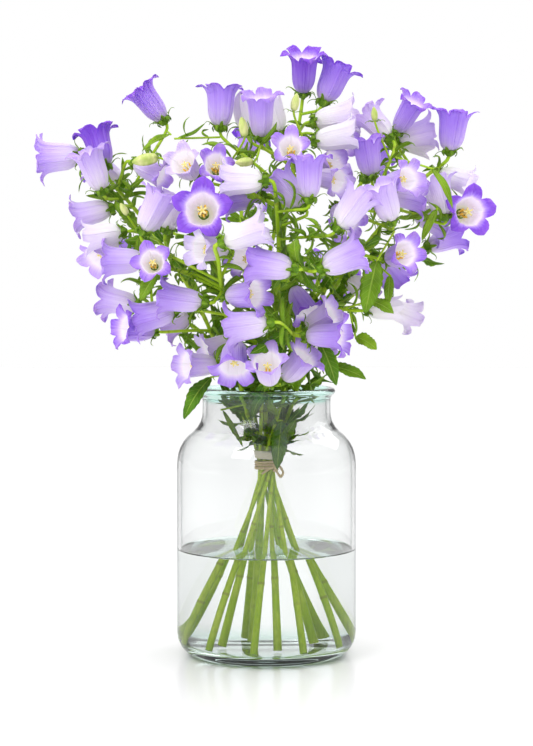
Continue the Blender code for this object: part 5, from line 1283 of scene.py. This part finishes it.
class BELLS_OT_green(bpy.types.Operator):
    """Make the stems with their stalks, sepals, leaves and buds, one piece for each stem"""
    bl_idname = "bells.green"
    bl_label = "Leafy stems"

    def execute(self, context):
        settings = context.scene.bells_green
        rng = np.random.default_rng(settings.seed)
        home = helper_collection("green_prototypes")
        shapes = [cup_shape(rng)] + [sepal_shape(fold, rng) for fold in FOLDS] + [bud_shape()]
        shapes += [bract_shape(*kind, rng) for kind in BRACTS]
        for number, shape in enumerate(shapes):
            name = "green_%02d" % number
            home.objects.link(bpy.data.objects.new(name, shape.mesh(name)))
        looks = {"Stem": stem_finish(settings), "Leaf": leaf_finish(settings),
                 "Bud": plain_finish("bud", paint("DDE09A"), paint("AFC55C"), 160.0, 0.5, (1, 1, 0.4))}
        tree = stem_tree(looks)
        rows, lines = bell_rows(), stem_lines(rng)
        owner = {int(row[0]): int(row[1]) for row in STALKS}
        owner.update({bell: k for k, bell in enumerate(TOP_BELLS)})
        for k in range(len(TOP_BELLS)):
            spots, turns, kinds, sizes = [], [], [], []
            for i, (_, foot, axis, size, _, _, spin, folds) in enumerate(rows):
                if owner[i] != k:
                    continue
                for kind, angle in [(0, 36.0)] + [(1 + int(f), 36.0 + 72.0 * n) for n, f in enumerate(folds)]:
                    spots.append(foot)
                    turns.append(tuple(spin_matrix(axis, spin + angle).to_euler()))
                    kinds.append(kind)
                    sizes.append(size)
            for row in BUDS:
                if int(row[0]) == k:
                    axis = unit(row[4:7])
                    spots += [row[1:4] / 10.0] * 6
                    turns += [tuple(spin_matrix(axis, 72.0 * n).to_euler()) for n in range(6)]
                    kinds += [6] + [2] * 5
                    sizes += [row[7] / 10.0] + [0.62] * 5
            for root, out, along, kind, size in bract_rows(lines, k, settings, rows):
                spots.append(root)
                turns.append(tuple(Matrix(np.stack([out, np.cross(along, out), along], 1).tolist()).to_euler()))
                kinds.append(7 + kind)
                sizes.append(size)
            leaves = Shape()
            for root, tip, lift, width, side in filler_rows(lines, k, settings, rows):
                u = np.linspace(0.0, 1.0, 17)
                line = root + (tip - root) * u[:, None] + lift * (4.0 * u * (1.0 - u))[:, None]
                blade(leaves, line, side, leaf_half(width, u), settings.leaf_thickness / MM, rng, teeth=0.22,
                      fold=0.3, wave=0.35, columns=2, shade=rng.uniform(0.0, 0.7))
            for row in LEAVES:
                if int(row[0]) != k:
                    continue
                root, tip, lift = row[1:4] / 10.0, row[4:7] / 10.0, row[7:10] / 10.0
                width, side = row[10] / 10.0, unit(row[11:14])
                large = width > 9.5
                u = np.linspace(0.0, 1.0, 25 if large else 13)
                line = root + (tip - root) * u[:, None] + lift * (4.0 * u * (1.0 - u))[:, None]
                blade(leaves, line, side, leaf_half(width, u), settings.leaf_thickness / MM, rng,
                      teeth=0.16 if large else 0.05, columns=3 if large else 2, shade=rng.uniform(0.0, 1.0))
            mine = [row for row in lines if row[0] == k]
            name = "leafy_stem_%02d" % (k + 1)
            hidden = [to_object(name + "_lines", lines_mesh(name + "_lines", mine), True),
                      to_object(name + "_leaves", leaves.mesh(name + "_leaves"), True)]
            mesh = points_object(name, spots, turn=turns, kind=np.array(kinds, np.int32),
                                 size=sizes)
            obj = tree.grow(to_object(name, mesh), Prototypes=home, Lines=hidden[0], Leaves=hidden[1], Sides=9,
                            **looks)
            for extra in hidden:
                bpy.data.objects.remove(extra)
            for face in obj.data.polygons:
                face.use_smooth = True
            keep(obj, "stem_%02d" % (k + 1), "leafy_stem")
        return {"FINISHED"}


# ---------------------------------------------------------------- tie

TWINE_RING, TWINE_PITCH, TWINE_LOW, TWINE_START = 10.3, 2.55, 173.7, -0.9


def twine_lines():
    """The coil, the knot, the loop and the loose end."""
    turn = np.linspace(0.0, 3.0 * math.tau, 145)
    coil = np.stack([TWINE_RING * np.cos(turn + TWINE_START), TWINE_RING * np.sin(turn + TWINE_START),
                     TWINE_LOW + TWINE_PITCH * turn / math.tau], 1)
    out = (TWINE_RING + 1.2) * np.array([math.cos(TWINE_START), math.sin(TWINE_START), 0.0])
    knot = out + (0, 0, TWINE_LOW + 3.8)
    wrap = [knot + (0.2, -0.2, -4.4), knot + (1.6, -1.6, -1.5), knot + (-1.2, -0.9, 0.4), knot + (1.3, -1.5, 2.4),
            knot + (0.2, -0.2, 4.4)]
    loop = [knot + (0, -0.8, 1), knot + (5, -2.5, 0), knot + (8.5, -2.5, -5), knot + (6.5, -2.0, -9),
            knot + (3.6, -2.2, -6.5), knot + (1.2, -1.2, -1)]
    tail = [knot + (0, -0.8, -1), knot + (-6, -3.2, -2.5), knot + (-11.5, -4.0, -6.5)]
    return [coil] + [curve_through(line, 1.2) for line in (wrap, loop, tail)]


def strand_tree(materials):
    """Three strands laid round each other along every line."""
    tree = Growth("laid_twine", Strand="Float", Lay="Float", Sides="Int", **{key: "Material" for key in materials})
    curve = tree.add("GeometryNodeMeshToCurve", {}, {"Mesh": tree.input()})
    curve = tree.add("GeometryNodeResampleCurve", {"mode": "LENGTH"}, {"Curve": curve, "Length": 0.0007})
    normal = tree.add("GeometryNodeInputNormal")
    tangent = tree.add("GeometryNodeInputTangent")
    across = tree.add("ShaderNodeVectorMath", {"operation": "CROSS_PRODUCT"}, {0: tangent, 1: normal})
    run = tree.add("GeometryNodeSplineParameter", out="Length")
    strands = []
    for number in range(3):
        angle = run * tree.input("Lay") + number * math.tau / 3
        shift = []
        for way, part in ((normal, "COSINE"), (across, "SINE")):
            reach = angle.math(part) * tree.input("Strand")
            shift.append(tree.add("ShaderNodeVectorMath", {"operation": "SCALE"}, {0: way, "Scale": reach}))
        offset = tree.add("ShaderNodeVectorMath", {"operation": "ADD"}, {0: shift[0], 1: shift[1]})
        strands.append(tree.add("GeometryNodeSetPosition", {}, {"Geometry": curve, "Offset": offset}))
    joined = tree.add("GeometryNodeJoinGeometry", {}, {0: strands})
    ring = tree.add("GeometryNodeCurvePrimitiveCircle", {}, {"Resolution": tree.input("Sides"),
                                                             "Radius": tree.input("Strand")})
    return tree.finish(tree.add("GeometryNodeCurveToMesh", {}, {"Curve": joined, "Profile Curve": ring,
                                                                "Fill Caps": True}), materials)


class BELLS_OT_tie(bpy.types.Operator):
    """Make the twine with its knot and loop, and the paper band"""
    bl_idname = "bells.tie"
    bl_label = "Twine and band"

    def execute(self, context):
        settings = context.scene.bells_tie
        looks = {"Twine": plain_finish("twine", settings.twine[:], paint("D6BA82"), 1400.0, 0.85, bump=0.0005)}
        rows = [(0, line, np.ones(len(line)), np.zeros(len(line))) for line in twine_lines()]
        twine = strand_tree(looks).grow(to_object("twine", lines_mesh("twine", rows)), Strand=settings.strand,
                                        Lay=1500.0, Sides=6, **looks)
        keep(twine, "binding_twine", "jute_twine")
        shape = Shape()
        turn = np.arange(96) * math.tau / 96
        wall = ((10.15, 183.6), (10.2, 183.3), (10.7, 183.35), (11.1, 185.6), (11.6, 187.8), (12.15, 190.1),
                (11.7, 190.3), (11.2, 188.0), (10.65, 185.8), (10.15, 183.6))
        columns = []
        for r, z in wall:
            wave = r + 0.16 * np.sin(9 * turn) + 0.10 * np.sin(17 * turn + 1.0)
            columns.append(np.stack([wave * np.cos(turn), wave * np.sin(turn), z + 0.25 * np.sin(2 * turn)], 1))
        shape.sheet(np.stack(columns, 1))
        band = to_object("paper_band", shape.mesh("paper_band"))
        band.data.materials.append(plain_finish("band_paper", settings.paper[:], paint("E6DCBC"), 500.0, 0.75,
                                                (1, 1, 6), 0.0003))
        keep(band, "binding_band", "paper_band")
        return {"FINISHED"}


# ---------------------------------------------------------------- panel and main

PIECES = (BELLS_OT_stage, BELLS_OT_jar, BELLS_OT_water, BELLS_OT_tie, BELLS_OT_green, BELLS_OT_bells)
SETTINGS = {"bells_jar": JarSettings, "bells_bells": BellSettings, "bells_green": GreenSettings,
            "bells_tie": TieSettings, "bells_stage": StageSettings}


class BELLS_PT_panel(bpy.types.Panel):
    """The pieces of the bunch with their sizes and colours"""
    bl_label = "Canterbury bells"
    bl_space_type, bl_region_type, bl_category = "VIEW_3D", "UI", "Bells"

    def draw(self, context):
        for piece in PIECES:
            self.layout.operator(piece.bl_idname)
        for name, kind in SETTINGS.items():
            box = self.layout.box()
            for key in kind.__annotations__:
                box.prop(getattr(context.scene, name), key)


def register():
    for kind in (*SETTINGS.values(), *PIECES, BELLS_PT_panel):
        bpy.utils.register_class(kind)
    for name, kind in SETTINGS.items():
        setattr(bpy.types.Scene, name, PointerProperty(type=kind))


def unregister():
    for name in SETTINGS:
        delattr(bpy.types.Scene, name)
    for kind in (BELLS_PT_panel, *reversed(PIECES), *reversed(SETTINGS.values())):
        bpy.utils.unregister_class(kind)


def main():
    register()
    for piece in PIECES:
        group, name = piece.bl_idname.split(".")
        getattr(getattr(bpy.ops, group), name)()


if __name__ == "__main__":
    main()
